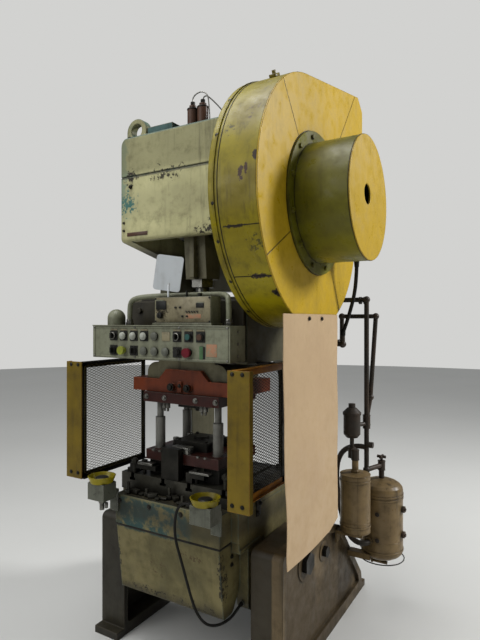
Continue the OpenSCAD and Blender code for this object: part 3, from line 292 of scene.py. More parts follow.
def smooth_path(points, steps=6):
    """Points of a smooth curve through given points, in metres."""
    p = [place(point) for point in points]
    path = []
    for i in range(len(p) - 1):
        a, b, c, d = p[max(i - 1, 0)], p[i], p[i + 1], p[min(i + 2, len(p) - 1)]
        for k in range(steps):
            t = k / steps
            square, cubic = 2 * a - 5 * b + 4 * c - d, 3 * b - a - 3 * c + d
            path.append(0.5 * (2 * b + (c - a) * t + square * t**2 + cubic * t**3))
    return [*path, p[-1]]


def wire_piece(name, routes, radius, finish_name, replaces=(), closed=False):
    """A bent wire, pipe or cable along smooth routes, as one curve piece."""
    curve = bpy.data.curves.new(name, "CURVE")
    curve.dimensions = "3D"
    curve.bevel_depth = radius / 1000
    curve.bevel_resolution = 4
    curve.use_fill_caps = True
    for route in routes:
        path = smooth_path(route)
        spline = curve.splines.new("POLY")
        spline.use_cyclic_u = closed
        spline.use_smooth = True
        spline.points.add(len(path) - 1)
        for spot, point in zip(spline.points, path):
            spot.co = (*point, 1.0)
    curve.materials.append(finish(finish_name))
    return settle(bpy.data.objects.new(name, curve), "frame", replaces)


# Finishes


def new_tree(name):
    """An empty material with its output and principled shader."""
    material = bpy.data.materials.new(name)
    material.use_nodes = True
    tree = material.node_tree
    tree.nodes.clear()
    # Old enamel and plastic are dulled by dust and oil, so they mirror less than clean ones
    shader = add(tree, "principled", {"Specular IOR Level": 0.28})
    add(tree, "surface", {"Surface": shader})
    return material, tree, shader


def over(tree, colour, mask, hex_colour, amount=None):
    """Lays a colour over another one where the mask is, thinned by an amount where one is given."""
    if amount is not None:
        mask = add(tree, "times", {0: mask, 1: amount})
    return add(tree, "mix", {0: mask, 6: colour, 7: linear(hex_colour)})


def complete(tree, shader, colour, rough, bump):
    """Joins a finish's colour, roughness and bump to its shader."""
    tree.links.new(colour.outputs[2], shader.inputs["Base Color"])
    tree.links.new(rough.outputs[0], shader.inputs["Roughness"])
    tree.links.new(bump.outputs[0], shader.inputs["Normal"])


def wavering(tree, value, middle, below, above):
    """Roughness that wavers about its middle with a noise."""
    ends = {"From Min": 0.3, "From Max": 0.7, "To Min": middle - below, "To Max": middle + above}
    return add(tree, "range", {"Value": value, **ends})


def band(tree, value, low, high, soft, wobble=None, amount=0.0):
    """A mask of 1 between two values of a coordinate, with soft and uneven ends."""
    if wobble is not None:
        value = add(tree, "scaled_sum", {0: wobble, 1: amount, 2: value})
    rising = add(tree, "rise", {"Value": value, "From Min": low - soft, "From Max": low + soft})
    falling = add(tree, "rise", {"Value": value, "From Min": high + soft, "From Max": high - soft})
    return add(tree, "times", {0: rising, 1: falling})


def local_marks(tree, coords, colour, flakes, marks):
    """Chips, stains and patches of painted shade that keep to their own places, each given by centre, reach,
    colour and strength.
    """
    for centre, reach, hex_colour, strength in marks:
        middle = place(centre)
        scale = [1000 / r for r in reach]
        shifted = add(
            tree, "mapping",
            {"Vector": coords, "Location": [-m * s for m, s in zip(middle, scale)], "Scale": scale},
        )
        away = add(tree, "length", {0: shifted}).outputs["Value"]
        fall = add(tree, "range", {"Value": away, "From Min": 1.0, "From Max": 0.2})
        both = add(tree, "scaled_sum", {0: fall, 1: strength, 2: flakes})
        mask = add(tree, "rise", {"Value": both, "From Min": 0.62, "From Max": 0.67})
        near = add(tree, "rise", {"Value": fall, "From Min": 0.0, "From Max": 0.15})
        colour = over(tree, colour, mask, hex_colour, near)
    return colour


def worn_paint(
    name, paint, second, grime_and_shade, chip, mottle=0.5, streaks=0.4, edge=0.6, spots=0.25, cavity=0.8,
    roughness=0.5, texture=0.15, edge_width=0.006, scale=1.0, zones=None, marks=(), smudge=0.3,
):
    """Old shop enamel: patchy colour, runs of oil, dirt and painted shade in the corners and paint gone from
    the edges.
    """
    material, tree, shader = new_tree(name)
    coords = add(tree, "coords").outputs["Object"]
    large = add(tree, "noise", {"Vector": coords, "Scale": 3.2 * scale, "Detail": 7.0, "Roughness": 0.6})
    medium = add(tree, "noise", {"Vector": coords, "Scale": 17 * scale, "Detail": 8.0, "Roughness": 0.65})
    flakes = add(tree, "noise", {"Vector": coords, "Scale": 46 * scale, "Detail": 6.0, "Roughness": 0.75})
    fine = add(tree, "noise", {"Vector": coords, "Scale": 190.0, "Detail": 3.0})
    stretched = add(tree, "mapping", {"Vector": coords, "Scale": (26 * scale, 26 * scale, 1.6)})
    runs = add(tree, "noise", {"Vector": stretched, "Scale": 1.0, "Detail": 5.0, "Roughness": 0.7})
    patch = add(tree, "rise", {"Value": large, "From Min": 0.38, "From Max": 0.66})
    colour = over(tree, linear(paint), patch, second, mottle)
    if zones:
        colour = zones(tree, coords, colour, large, medium)
    # Greasy hands and rags leave soft cloudy smudges
    cloud = add(tree, "rise", {"Value": medium, "From Min": 0.46, "From Max": 0.72})
    colour = over(tree, colour, cloud, grime_and_shade, smudge)
    # Oil runs straight down
    run = add(tree, "rise", {"Value": runs, "From Min": 0.5, "From Max": 0.72})
    where = add(tree, "rise", {"Value": large, "From Min": 0.3, "From Max": 0.62})
    colour = over(tree, colour, add(tree, "times", {0: run, 1: where}), grime_and_shade, streaks)
    # Dirt and painted shade gather in the inner corners, where ambient occlusion finds them hidden
    hollow = add(tree, "corner", {"Distance": 0.09}).outputs["AO"]
    hollow = add(tree, "range", {"Value": hollow, "From Min": 0.93, "From Max": 0.35})
    ragged = add(tree, "rise", {"Value": medium, "From Min": 0.2, "From Max": 0.6})
    colour = over(tree, colour, add(tree, "times", {0: hollow, 1: ragged}), grime_and_shade, cavity)
    if marks:
        colour = local_marks(tree, coords, colour, flakes, marks)
    # Paint is knocked off the outer edges and flakes here and there
    bevel = add(tree, "round_edge", {"Radius": edge_width})
    facing = add(tree, "dot", {0: bevel, 1: add(tree, "shape").outputs["Normal"]}).outputs["Value"]
    turned = add(tree, "range", {"Value": facing, "From Min": 0.995, "From Max": 0.86})
    bite = {"From Min": 0.5 - 0.2 * edge, "From Max": 0.62 - 0.12 * edge}
    bitten = add(tree, "rise", {"Value": medium, **bite})
    worn = add(tree, "times", {0: add(tree, "times", {0: turned, 1: bitten}), 1: edge})
    flake = add(tree, "rise", {"Value": flakes, "From Min": 0.66, "From Max": 0.7})
    flaked = add(tree, "rise", {"Value": large, "From Min": 0.42, "From Max": 0.6})
    flake = add(tree, "times", {0: add(tree, "times", {0: flake, 1: flaked}), 1: spots})
    gone = add(tree, "most", {0: worn, 1: flake})
    colour = over(tree, colour, gone, chip)
    rough = wavering(tree, medium, roughness, 0.14, 0.18)
    raised = add(tree, "scaled_sum", {0: gone, 1: -0.6, 2: fine})
    bump = add(tree, "bump", {"Strength": texture, "Distance": 0.0015, "Height": raised, "Normal": bevel})
    complete(tree, shader, colour, rough, bump)
    return material


def bare_metal(name, colour, second, dirt, roughness=0.4, metallic=0.9, cavity=0.8):
    """Bare or oiled metal: tool marks, stains, and dirt and painted shade in the corners."""
    material, tree, shader = new_tree(name)
    coords = add(tree, "coords").outputs["Object"]
    stains = add(tree, "noise", {"Vector": coords, "Scale": 11, "Detail": 7.0, "Roughness": 0.65})
    tool_marks = add(tree, "noise", {"Vector": coords, "Scale": 130, "Detail": 4.0})
    stain = add(tree, "rise", {"Value": stains, "From Min": 0.36, "From Max": 0.66})
    base = over(tree, linear(colour), stain, second)
    # Dirt and painted shade in the corners, laid by ambient occlusion
    hollow = add(tree, "corner", {"Distance": 0.05}).outputs["AO"]
    hollow = add(tree, "range", {"Value": hollow, "From Min": 0.95, "From Max": 0.4})
    base = over(tree, base, hollow, dirt, cavity)
    rough = wavering(tree, stains, roughness, 0.1, 0.2)
    bevel = add(tree, "round_edge", {"Radius": 0.002})
    bump = add(tree, "bump", {"Strength": 0.12, "Distance": 0.001, "Height": tool_marks, "Normal": bevel})
    shader.inputs["Metallic"].default_value = metallic
    complete(tree, shader, base, rough, bump)
    return material


def moulded(name, colour, dirt, roughness=0.4, dusty=0.35, scale=1.0, shine=0.15):
    """Moulded plastic or rubber, dulled by dust and handling."""
    material, tree, shader = new_tree(name)
    coords = add(tree, "coords").outputs["Object"]
    dust = add(tree, "noise", {"Vector": coords, "Scale": 24 * scale, "Detail": 6.0, "Roughness": 0.7})
    grain = add(tree, "noise", {"Vector": coords, "Scale": 320.0, "Detail": 2.0})
    dull = add(tree, "rise", {"Value": dust, "From Min": 0.4, "From Max": 0.7})
    base = over(tree, linear(colour), dull, dirt, dusty)
    shader.inputs["Specular IOR Level"].default_value = shine
    rough = wavering(tree, dust, roughness, 0.08, 0.2)
    bevel = add(tree, "round_edge", {"Radius": 0.0012})
    bump = add(tree, "bump", {"Strength": 0.08, "Distance": 0.0006, "Height": grain, "Normal": bevel})
    complete(tree, shader, base, rough, bump)
    return material


def casting_zones(tree, coords, colour, large, medium):
    """The frame's colours by height: cream crown, a gap darkened with painted shade and oil, teal bed and
    khaki apron.
    """
    axes = add(tree, "split", {0: coords}).outputs
    up = add(tree, "split", {0: add(tree, "shape").outputs["Normal"]}).outputs[2]
    # Teal undercoat shows along the crown's left side and its top
    ragged = add(tree, "scaled_sum", {0: medium, 1: 0.25, 2: axes[0]})
    left = add(tree, "rise", {"Value": ragged, "From Min": -0.155, "From Max": -0.2})
    high = add(tree, "rise", {"Value": axes[2], "From Min": 2.0, "From Max": 2.3})
    colour = over(tree, colour, add(tree, "times", {0: left, 1: high}), "#5f7d70", 0.75)
    # The gap between the crown and the bed is painted dark: painted shade under the crown, and oil
    under_crown = band(tree, axes[2], 0.80, 1.985, 0.02, large, 0.05)
    colour = over(tree, colour, under_crown, "#332f22", 0.9)
    # A soft darker belt under the crown's seam
    belt = band(tree, axes[2], 2.16, 2.30, 0.05, medium, 0.16)
    colour = over(tree, colour, belt, "#5a5640", 0.25)
    above = add(tree, "rise", {"Value": axes[2], "From Min": 2.29, "From Max": 2.33})
    colour = over(tree, colour, above, "#6f6c4b", 0.6)
    seam = band(tree, axes[2], 2.292, 2.306, 0.004, medium, 0.004)
    colour = over(tree, colour, seam, "#3a3628", 0.8)
    # Painted shade along the crown's lower edge and underside
    low_crown = band(tree, axes[2], 1.93, 2.05, 0.06, large, 0.12)
    colour = over(tree, colour, low_crown, "#4d4630", 0.45)
    khaki = band(tree, axes[2], 0.26, 0.80, 0.01)
    faded = add(tree, "rise", {"Value": large, "From Min": 0.4, "From Max": 0.62})
    old_khaki = over(tree, linear("#736a45"), faded, "#565031")
    colour = add(tree, "mix", {0: khaki, 6: colour, 7: old_khaki})
    # Teal band along the bed, worn back to khaki at its ends
    teal = band(tree, axes[2], 0.655, 0.80, 0.008, medium, 0.06)
    ends = band(tree, axes[0], -0.20, 0.22, 0.03, medium, 0.16)
    patchy = add(tree, "rise", {"Value": medium, "From Min": 0.4, "From Max": 0.54})
    colour = over(tree, colour, add(tree, "times", {0: teal, 1: ends}), "#284645", patchy)
    # Oil creeps down from the ledge where the parts and hands lie
    oil = band(tree, axes[2], 0.715, 0.80, 0.03, large, 0.12)
    colour = over(tree, colour, oil, "#242118", 0.6)
    stain = band(tree, axes[2], 0.28, 0.40, 0.03, medium, 0.1)
    colour = over(tree, colour, stain, "#2f2a1d", 0.75)
    top = add(tree, "rise", {"Value": up, "From Min": 0.6, "From Max": 0.9})
    colour = over(tree, colour, top, "#25231c", band(tree, axes[2], 0.70, 0.80, 0.01))
    # The crown's rounded upper edge is rubbed through to teal
    rounded = add(tree, "rise", {"Value": up, "From Min": 0.05, "From Max": 0.5})
    highest = add(tree, "rise", {"Value": axes[2], "From Min": 2.3, "From Max": 2.4})
    return over(tree, colour, add(tree, "times", {0: rounded, 1: highest}), "#45625e", 0.8)


def right_leg_zones(tree, coords, colour, large, medium):
    """Painted shadow of the bed and post above on the leg's inner part, and brown oil behind the tan strip
    along its front edge.
    """
    axes = add(tree, "split", {0: coords}).outputs
    # Painted shadow on the leg's inner part, as cast by the bed and post above
    inner = band(tree, axes[0], 0.2, 0.476, 0.004, medium, 0.012)
    colour = over(tree, colour, inner, "#28241a", 0.9)
    behind = add(tree, "rise", {"Value": axes[1], "From Min": -0.53, "From Max": -0.50})
    dark = add(tree, "rise", {"Value": large, "From Min": 0.3, "From Max": 0.55})
    return over(tree, colour, behind, "#453823", dark)


def die_zones(tree, coords, colour, large, medium):
    """Ground steel on the four guide posts and their bushings, red paint on the rest."""
    axes = add(tree, "split", {0: coords}).outputs
    across = add(tree, "plus", {0: add(tree, "size", {0: axes[0]}), 1: -0.17})
    along = add(tree, "plus", {0: add(tree, "size", {0: add(tree, "plus", {0: axes[1], 1: 0.38})}), 1: -0.11})
    square = add(tree, "scaled_sum", {0: across, 1: across, 2: add(tree, "times", {0: along, 1: along})})
    post = add(tree, "rise", {"Value": square, "From Min": 0.00078, "From Max": 0.00066})
    return over(tree, colour, post, "#77766f")


# Stains, bared spots and a patch of painted shade on the casting, with the place, reach, colour and strength
# of each
CASTING_MARKS = (
    ((-270, -220, 2290), (60, 40, 60), "#2a2418", 0.2),
    ((-300, -220, 2170), (90, 40, 90), "#3f6a62", 0.2),
    ((-60, -220, 2290), (160, 40, 60), "#3a3626", 0.14),
    ((150, -300, 330), (260, 60, 50), "#1f1b13", 0.2),
    # Painted shade on the crown's lower right corner
    ((250, -220, 2010), (200, 60, 60), "#2c2719", 0.2),
    ((-100, -300, 345), (240, 60, 34), "#1f1b13", 0.22),
    ((-290, -300, 500), (22, 60, 170), "#2a2418", 0.22),
    ((288, -300, 480), (20, 90, 170), "#2a2418", 0.22),
    ((-60, -300, 470), (90, 60, 60), "#4a3c24", 0.12),
    ((120, -300, 560), (120, 60, 40), "#4a3c24", 0.12),
)
# The same for the guard
GUARD_MARKS = (
    (on_guard(158, BAND_R, 470), (40, 60, 60), "#4a4410", 0.12),
    (on_guard(150, BAND_R, 560), (60, 60, 90), "#5a4a18", 0.12),
    (on_guard(205, BAND_R, 570), (60, 60, 60), "#4a4410", 0.12),
    (on_guard(178, BAND_R, 536), (16, 60, 42), "#3a2210", 0.26),
    (on_guard(177, BAND_R, 558), (10, 60, 34), "#3a2210", 0.26),
    (on_guard(219, BAND_R, 552), (70, 30, 14), "#2a1c0e", 0.28),
    (on_guard(197.5, BAND_R, 500), (70, 12, 9), "#33280f", 0.3),
    (on_guard(228, BAND_R, 600), (30, 40, 30), "#241a0e", 0.35),
    (on_guard(172, BAND_R, 592), (16, 30, 30), "#2a1c0e", 0.34),
    ((625, -180, 2250), (40, 60, 120), "#3a3413", 0.2),
    ((835, -150, 2260), (14, 90, 90), "#1f180c", 0.3),
    ((835, -220, 2050), (14, 90, 120), "#1f180c", 0.26),
)
# Every finish of the press: the function that makes it and its colours
FINISHES = {
    # Cast iron under brushed cream enamel: dull, with oil runs and teal undercoat at the rims
    "enamelled_casting": (worn_paint, dict(
        paint="#c2be8e", second="#a8a478", grime_and_shade="#3b3624", chip="#46625c", mottle=0.8, streaks=0.5, edge=0.5,
        spots=0.35, roughness=0.5, texture=0.35, edge_width=0.01, zones=casting_zones, smudge=0.35,
        marks=CASTING_MARKS,
    )),
    # Cast iron soaked with oil: nearly black, half glossy
    "oily_casting": (worn_paint, dict(
        paint="#343024", second="#26231a", grime_and_shade="#17140e", chip="#4c4533", mottle=0.8, streaks=0.6,
        roughness=0.42, texture=0.35, edge_width=0.008,
    )),
    # Khaki enamel on a cast leg, dark inside its strip with painted shadow from the bed and post above
    "khaki_leg": (worn_paint, dict(
        paint="#6e5d42", second="#4c402b", grime_and_shade="#2a2418", chip="#3c301f", mottle=0.7, streaks=0.8,
        roughness=0.5, texture=0.35, edge_width=0.008, zones=right_leg_zones,
    )),
    # Sheet steel in weathered yellow, gone olive where oil reached it
    "olive_yellow_sheet": (worn_paint, dict(
        paint="#918404", second="#6b5d02", grime_and_shade="#37300a", chip="#2c2112", mottle=0.8,
        streaks=0.55, edge=0.8, spots=0.5, roughness=0.36, texture=0.12, edge_width=0.005, smudge=0.25,
        marks=GUARD_MARKS,
    )),
    # The clutch drum, where belt dust and oil have browned the same enamel
    "browned_yellow_sheet": (worn_paint, dict(
        paint="#6d6a12", second="#504d0a", grime_and_shade="#2c2608", chip="#2a1c0e", mottle=0.8, streaks=0.5, edge=0.7,
        spots=0.5, roughness=0.34, texture=0.12, edge_width=0.005, smudge=0.3,
    )),
    # The guard's face, the same enamel kept warmer
    "amber_yellow_sheet": (worn_paint, dict(
        paint="#b8971e", second="#aa8c1a", grime_and_shade="#55460a", chip="#3b2a16", mottle=0.5, streaks=0.2, edge=0.7,
        spots=0.4, roughness=0.36, texture=0.1, edge_width=0.005, smudge=0.18,
    )),
    # Ochre enamel on a folded post, light orange on the corners, as rubbed primer and as a painted highlight
    "ochre_channel": (worn_paint, dict(
        paint="#725e0a", second="#4f3f06", grime_and_shade="#2b2109", chip="#b07c38", mottle=0.7, streaks=0.5, edge=0.8,
        spots=0.25, roughness=0.42, texture=0.15, edge_width=0.004,
    )),
    # Orange enamel brushed on a rail, browned and chipped to dark iron
    "orange_rail": (worn_paint, dict(
        paint="#a8701e", second="#80541a", grime_and_shade="#3a2a12", chip="#2c2417", mottle=0.6, edge=0.7, spots=0.5,
        roughness=0.45, edge_width=0.003,
    )),
    # Expanded metal: thin paint over steel, black with oil
    "mesh_olive": (worn_paint, dict(
        paint="#6a5f28", second="#3a3416", grime_and_shade="#1c190e", chip="#211c12", mottle=0.9, streaks=0.3, edge=0.2,
        spots=0.4, roughness=0.45, edge_width=0.001,
    )),
    # The same sheet where black grime covers all of the paint
    "black_mesh": (worn_paint, dict(
        paint="#26231a", second="#1a1812", grime_and_shade="#0f0e0a", chip="#3a3526", mottle=0.8, edge=0.3,
        roughness=0.45, edge_width=0.001,
    )),
    # Chalky blue-green enamel, rubbed to tan on its edges
    "faded_teal": (worn_paint, dict(
        paint="#41605d", second="#33504e", grime_and_shade="#222a26", chip="#7b6a4c", mottle=0.6, edge=0.8, spots=0.5,
        roughness=0.5, texture=0.2,
    )),
    # Old red machine paint, brown with oil, and light orange on its edges, which is rubbed paint and a
    # painted highlight
    "red_machine_paint": (worn_paint, dict(
        paint="#7a3619", second="#5a2710", grime_and_shade="#21120b", chip="#a8552c", mottle=0.7, streaks=0.4, edge=0.9,
        spots=0.3, roughness=0.4, texture=0.15, edge_width=0.005,
    )),
    # Thin brown enamel over cast metal, pale where it is knocked
    "brown_machine_paint": (worn_paint, dict(
        paint="#54392a", second="#3c2a20", grime_and_shade="#1b130d", chip="#77665a", mottle=0.7, edge=0.7,
        roughness=0.4, edge_width=0.003,
    )),
    # Deep red paint gone nearly black with oil, with ground posts through it
    "red_die_paint": (worn_paint, dict(
        paint="#38120a", second="#240b06", grime_and_shade="#150d0b", chip="#6f6a62", mottle=0.7, streaks=0.3, edge=0.8,
        spots=0.3, roughness=0.36, texture=0.12, edge_width=0.003, zones=die_zones,
    )),
    # Grey-green enamel of an electrical enclosure
    "enclosure_enamel": (worn_paint, dict(
        paint="#7d7f6a", second="#686a56", grime_and_shade="#2b281c", chip="#8e8a76", mottle=0.6, streaks=0.4, edge=0.7,
        spots=0.35, roughness=0.42, texture=0.12, edge_width=0.003, scale=1.6, smudge=0.35,
    )),
    # The same grey where greasy palms and coolant have darkened it, white where its corners chipped
    "greasy_enclosure": (worn_paint, dict(
        paint="#5d5f54", second="#494a3e", grime_and_shade="#24221a", chip="#b9bab0", mottle=0.7, streaks=0.5, edge=0.5,
        spots=0.4, roughness=0.42, texture=0.15, edge_width=0.003, scale=1.6, smudge=0.35,
        marks=(
            ((280, PALM_Y, 850), (60, 50, 6), "#b4b8b2", 0.1),
            ((-300, PALM_Y, 800), (60, 60, 60), "#2c2a22", 0.1),
        ),
    )),
    # Beige enamel on drawn steel, with long dark runs and rusty chips
    "beige_enamel": (worn_paint, dict(
        paint="#7f6a47", second="#604f33", grime_and_shade="#2b2417", chip="#3b2a1b", mottle=0.7,
        streaks=0.85, edge=0.6, spots=0.45, roughness=0.38, texture=0.15, edge_width=0.004, scale=1.5,
    )),
    # Paler beige of a small instrument box, greasy round its knobs
    "box_beige": (worn_paint, dict(
        paint="#8b8368", second="#6a6148", grime_and_shade="#262014", chip="#3b2a1b", mottle=0.8, streaks=0.3, edge=0.7,
        spots=0.3, roughness=0.4, texture=0.1, edge_width=0.003, scale=2.0, smudge=0.4,
        marks=(((10, -330, 1630), (60, 20, 40), "#2a2418", 0.2),),
    )),
    # Old cream paint on a machined block, grey-brown with oil
    "cream_slide": (worn_paint, dict(
        paint="#7f7a60", second="#5f5a44", grime_and_shade="#231f15", chip="#4a4638", mottle=0.7, streaks=0.6, edge=0.5,
        roughness=0.42, texture=0.25,
    )),
    # Cast iron left bare and wiped with oil
    "oiled_iron": (bare_metal, dict(
        colour="#403e36", second="#292822", dirt="#14120e", roughness=0.36, metallic=0.5,
    )),
    # Ground steel, such as screws, bars and studs
    "ground_steel": (bare_metal, dict(
        colour="#85847e", second="#63615b", dirt="#26221a", roughness=0.28, metallic=0.9,
    )),
    # Heat-blackened fasteners and clamps
    "black_steel": (bare_metal, dict(
        colour="#2b2924", second="#1a1915", dirt="#12100c", roughness=0.4, metallic=0.5,
    )),
    # Cast bronze, dull yellow with dark oil in its corners
    "bearing_bronze": (bare_metal, dict(colour="#9a7840", second="#7c5f33", dirt="#33270f", roughness=0.34)),
    # Black iron pipe, browned by rust in patches
    "black_iron_pipe": (worn_paint, dict(
        paint="#2f2a23", second="#413226", grime_and_shade="#15120d", chip="#4a3323", mottle=0.8, spots=0.4,
        roughness=0.45, texture=0.25, scale=2.0, edge_width=0.002,
    )),
    # Hard tan board, smooth on its face, faintly creased and stained
    "tan_board": (worn_paint, dict(
        paint="#b79d7a", second="#ab9070", grime_and_shade="#8a7354", chip="#96805f", mottle=0.4, streaks=0.1, edge=0.3,
        spots=0.1, cavity=0.3, roughness=0.5, texture=0.05, edge_width=0.001, smudge=0.12,
    )),
    # White baked enamel, greyed by dust and chipped at the rim
    "white_sign": (worn_paint, dict(
        paint="#c3c8cc", second="#b4b8ba", grime_and_shade="#77756c", chip="#5a5348", mottle=0.4, streaks=0.2, edge=0.6,
        spots=0.15, cavity=0.5, roughness=0.35, texture=0.05, edge_width=0.003, smudge=0.15,
    )),
    # Soft black rubber, grey-brown with dust
    "black_rubber": (moulded, dict(colour="#100f0c", dirt="#25221a", roughness=0.55, shine=0.2)),
    # Hard plastics of buttons, lenses and plugs, their colours greyed by handling
    "black_plastic": (moulded, dict(colour="#151512", dirt="#2c2a22", roughness=0.38, shine=0.25)),
    "grey_lens": (moulded, dict(colour="#a3a69c", dirt="#6a6757", roughness=0.3)),
    "grey_plug": (moulded, dict(colour="#5f6158", dirt="#3b392e", roughness=0.4)),
    "teal_plastic": (moulded, dict(colour="#2f534e", dirt="#2a3a33", roughness=0.35)),
    "brown_plastic": (moulded, dict(colour="#4d382c", dirt="#3a2a20", roughness=0.35)),
    "lime_plastic": (moulded, dict(colour="#8b9138", dirt="#4f5226", roughness=0.35)),
    "red_plastic": (moulded, dict(colour="#621822", dirt="#3a1518", roughness=0.35)),
    # Printed film and paper, matt and faded
    "green_label": (moulded, dict(colour="#4a6a48", dirt="#3a4434", roughness=0.5)),
    "faded_sticker": (moulded, dict(colour="#a3775c", dirt="#87866f", roughness=0.5, dusty=1.0, scale=2.0)),
}


def finish(name):
    """The material of that name, made when it is first asked for."""
    made = bpy.data.materials.get(f"aged_{name}")
    if made is None:
        maker, look = FINISHES[name]
        made = maker(f"aged_{name}", **look)
    return made


# Finish of each node of the frame model that is shown as it is
NODE_FINISH = {
    "enamelled_casting": ["frame_casting", "left_bearing_cap"],
    "oily_casting": ["left_leg", "gibs"],
    "khaki_leg": ["right_leg"],
    "black_steel": [
        "leg_bolts", "clamps_and_parallels", "die_block", "punch_block", "panel_bracket", "motor_bracket",
    ],
    "faded_teal": ["crown_top_plate"],
    "red_machine_paint": ["ram_plate"],
    "brown_machine_paint": ["lubricator"],
    "bearing_bronze": ["main_bearings"],
    "oiled_iron": ["bolster_plate", "flywheel", "motor_pulley", "motor"],
    "red_die_paint": ["lower_die_set", "upper_die_set"],
    "olive_yellow_sheet": ["guard_back", "guard_band", "ring_guards"],
    "browned_yellow_sheet": ["clutch_housing"],
    "amber_yellow_sheet": ["guard_face", "clutch_end_cover"],
    "black_iron_pipe": ["air_union_pipe", "air_piping", "valve_handle"],
    "black_rubber": ["v_belts"],
    "enclosure_enamel": ["control_panel", "small_control_box", "panel_conduits"],
    "greasy_enclosure": ["palm_boxes"],
    "black_plastic": [
        "panel_fittings", "black_button", "selector_1", "selector_2", "selector_3", "selector_4",
    ],
    "teal_plastic": ["teal_button"],
    "brown_plastic": ["brown_button"],
    "lime_plastic": ["yellow_button"],
    "red_plastic": ["red_button"],
    "white_sign": ["sign_plate"],
    "ochre_channel": ["guard_posts"],
    "beige_enamel": ["air_tanks"],
    "ground_steel": ["crankshaft", "clutch_hub", "adjusting_screw"],
    "cream_slide": ["pitman", "slide"],
}


class StageSizes(bpy.types.PropertyGroup):
    """The camera's place and lens, and the floor's colour."""

    camera_place: bpy.props.FloatVectorProperty(
        name="Camera", description="Place of the camera", default=(1.48, -2.50, 1.60), subtype="TRANSLATION"
    )
    camera_turn: bpy.props.FloatProperty(
        name="Camera turn", description="Turn of the level camera to its left", default=math.radians(30.7),
        subtype="ANGLE",
    )
    lens: bpy.props.FloatProperty(name="Lens", description="Focal length in millimetres", default=29.25)
    floor_colour: bpy.props.FloatVectorProperty(
        name="Floor", description="Colour of the floor", default=linear("#cfcfcc")[:3], subtype="COLOR"
    )


class PanelSizes(bpy.types.PropertyGroup):
    """Sizes of the expanded metal and of the hanging board."""

    mesh_long: bpy.props.FloatProperty(
        name="Long way", description="Long way of a mesh opening, in mm", default=30
    )
    mesh_short: bpy.props.FloatProperty(
        name="Short way", description="Short way of a mesh opening, in mm", default=12.7
    )
    strand: bpy.props.FloatProperty(name="Strand", description="Thickness of a strand, in mm", default=2.2)
    board: bpy.props.FloatProperty(name="Board", description="Thickness of the board, in mm", default=3)


class PRESS_OT_stage(bpy.types.Operator):
    """Lays the floor, hangs the lamps and sets the camera"""

    bl_idname = "press.stage"
    bl_label = "Floor, light and camera"

    def execute(self, context):
        sizes, scene = context.scene.press_stage, context.scene
        scene.view_settings.view_transform = "Standard"
        camera = bpy.data.objects.new("camera", bpy.data.cameras.new("camera"))
        camera.location = sizes.camera_place
        camera.rotation_euler = (math.pi / 2, 0, sizes.camera_turn)
        camera.data.lens = sizes.lens
        camera.data.sensor_width = 36
        scene.collection.objects.link(camera)
        scene.camera = camera

        # Sealed concrete: pale, faintly glossy, with soft clouding
        material, tree, shader = new_tree("sealed_concrete")
        coords = add(tree, "coords").outputs["Object"]
        clouds = add(tree, "noise", {"Vector": coords, "Scale": 0.7, "Detail": 4.0})
        soft = add(tree, "times", {0: clouds, 1: 0.35})
        shade = add(tree, "mix", {0: soft, 6: (*sizes.floor_colour, 1.0), 7: linear("#b6b6b2")})
        tree.links.new(shade.outputs[2], shader.inputs["Base Color"])
        shader.inputs["Roughness"].default_value = 0.42
        bm = bmesh.new()
        bmesh.ops.create_circle(bm, cap_ends=True, segments=64, radius=16)
        mesh = bpy.data.meshes.new("floor")
        bm.to_mesh(mesh)
        bm.free()
        mesh.materials.append(material)
        floor = bpy.data.objects.new("floor", mesh)
        scene.collection.objects.link(floor)

        for name, where, target, size, power in (
            ("ceiling_lamp", (-0.6, -1.2, 5.8), (0, -0.3, 1.2), 3.0, 120),
            ("front_lamp", (-1.8, -4.6, 3.0), (0, -0.3, 1.3), 2.5, 50),
            ("window_lamp", (4.6, 2.4, 4.1), (0.5, -0.3, 1.9), 1.1, 300),
        ):
            lamp = bpy.data.lights.new(name, "AREA")
            lamp.shape = "SQUARE"
            lamp.size = size
            lamp.energy = power
            holder = bpy.data.objects.new(name, lamp)
            holder.location = where
            holder.rotation_euler = (Vector(target) - Vector(where)).to_track_quat("-Z", "Y").to_euler()
            scene.collection.objects.link(holder)

        # Even light from the hall's whole roof, so that the floor stays pale far away
        roof = bpy.data.lights.new("roof_light", "SUN")
        roof.energy = 1.15
        roof.angle = math.radians(70)
        holder = bpy.data.objects.new("roof_light", roof)
        holder.rotation_euler = Vector((-0.35, -0.6, 1.0)).to_track_quat("Z", "Y").to_euler()
        scene.collection.objects.link(holder)

        world = bpy.data.worlds.new("pale_room")
        world.use_nodes = True
        tree = world.node_tree
        tree.nodes.clear()
        rays = add(tree, "ray").outputs
        seen = add(tree, "most", {0: rays["Is Camera Ray"], 1: rays["Is Transmission Ray"]})
        pale = add(tree, "background", {"Color": linear("#dcdcda"), "Strength": 0.9})
        room = add(tree, "background", {"Color": linear("#e8ecee"), "Strength": 0.2})
        add(tree, "world", {"Surface": add(tree, "mix_shader", {0: seen, 1: room, 2: pale})})
        scene.world = world
        return {"FINISHED"}


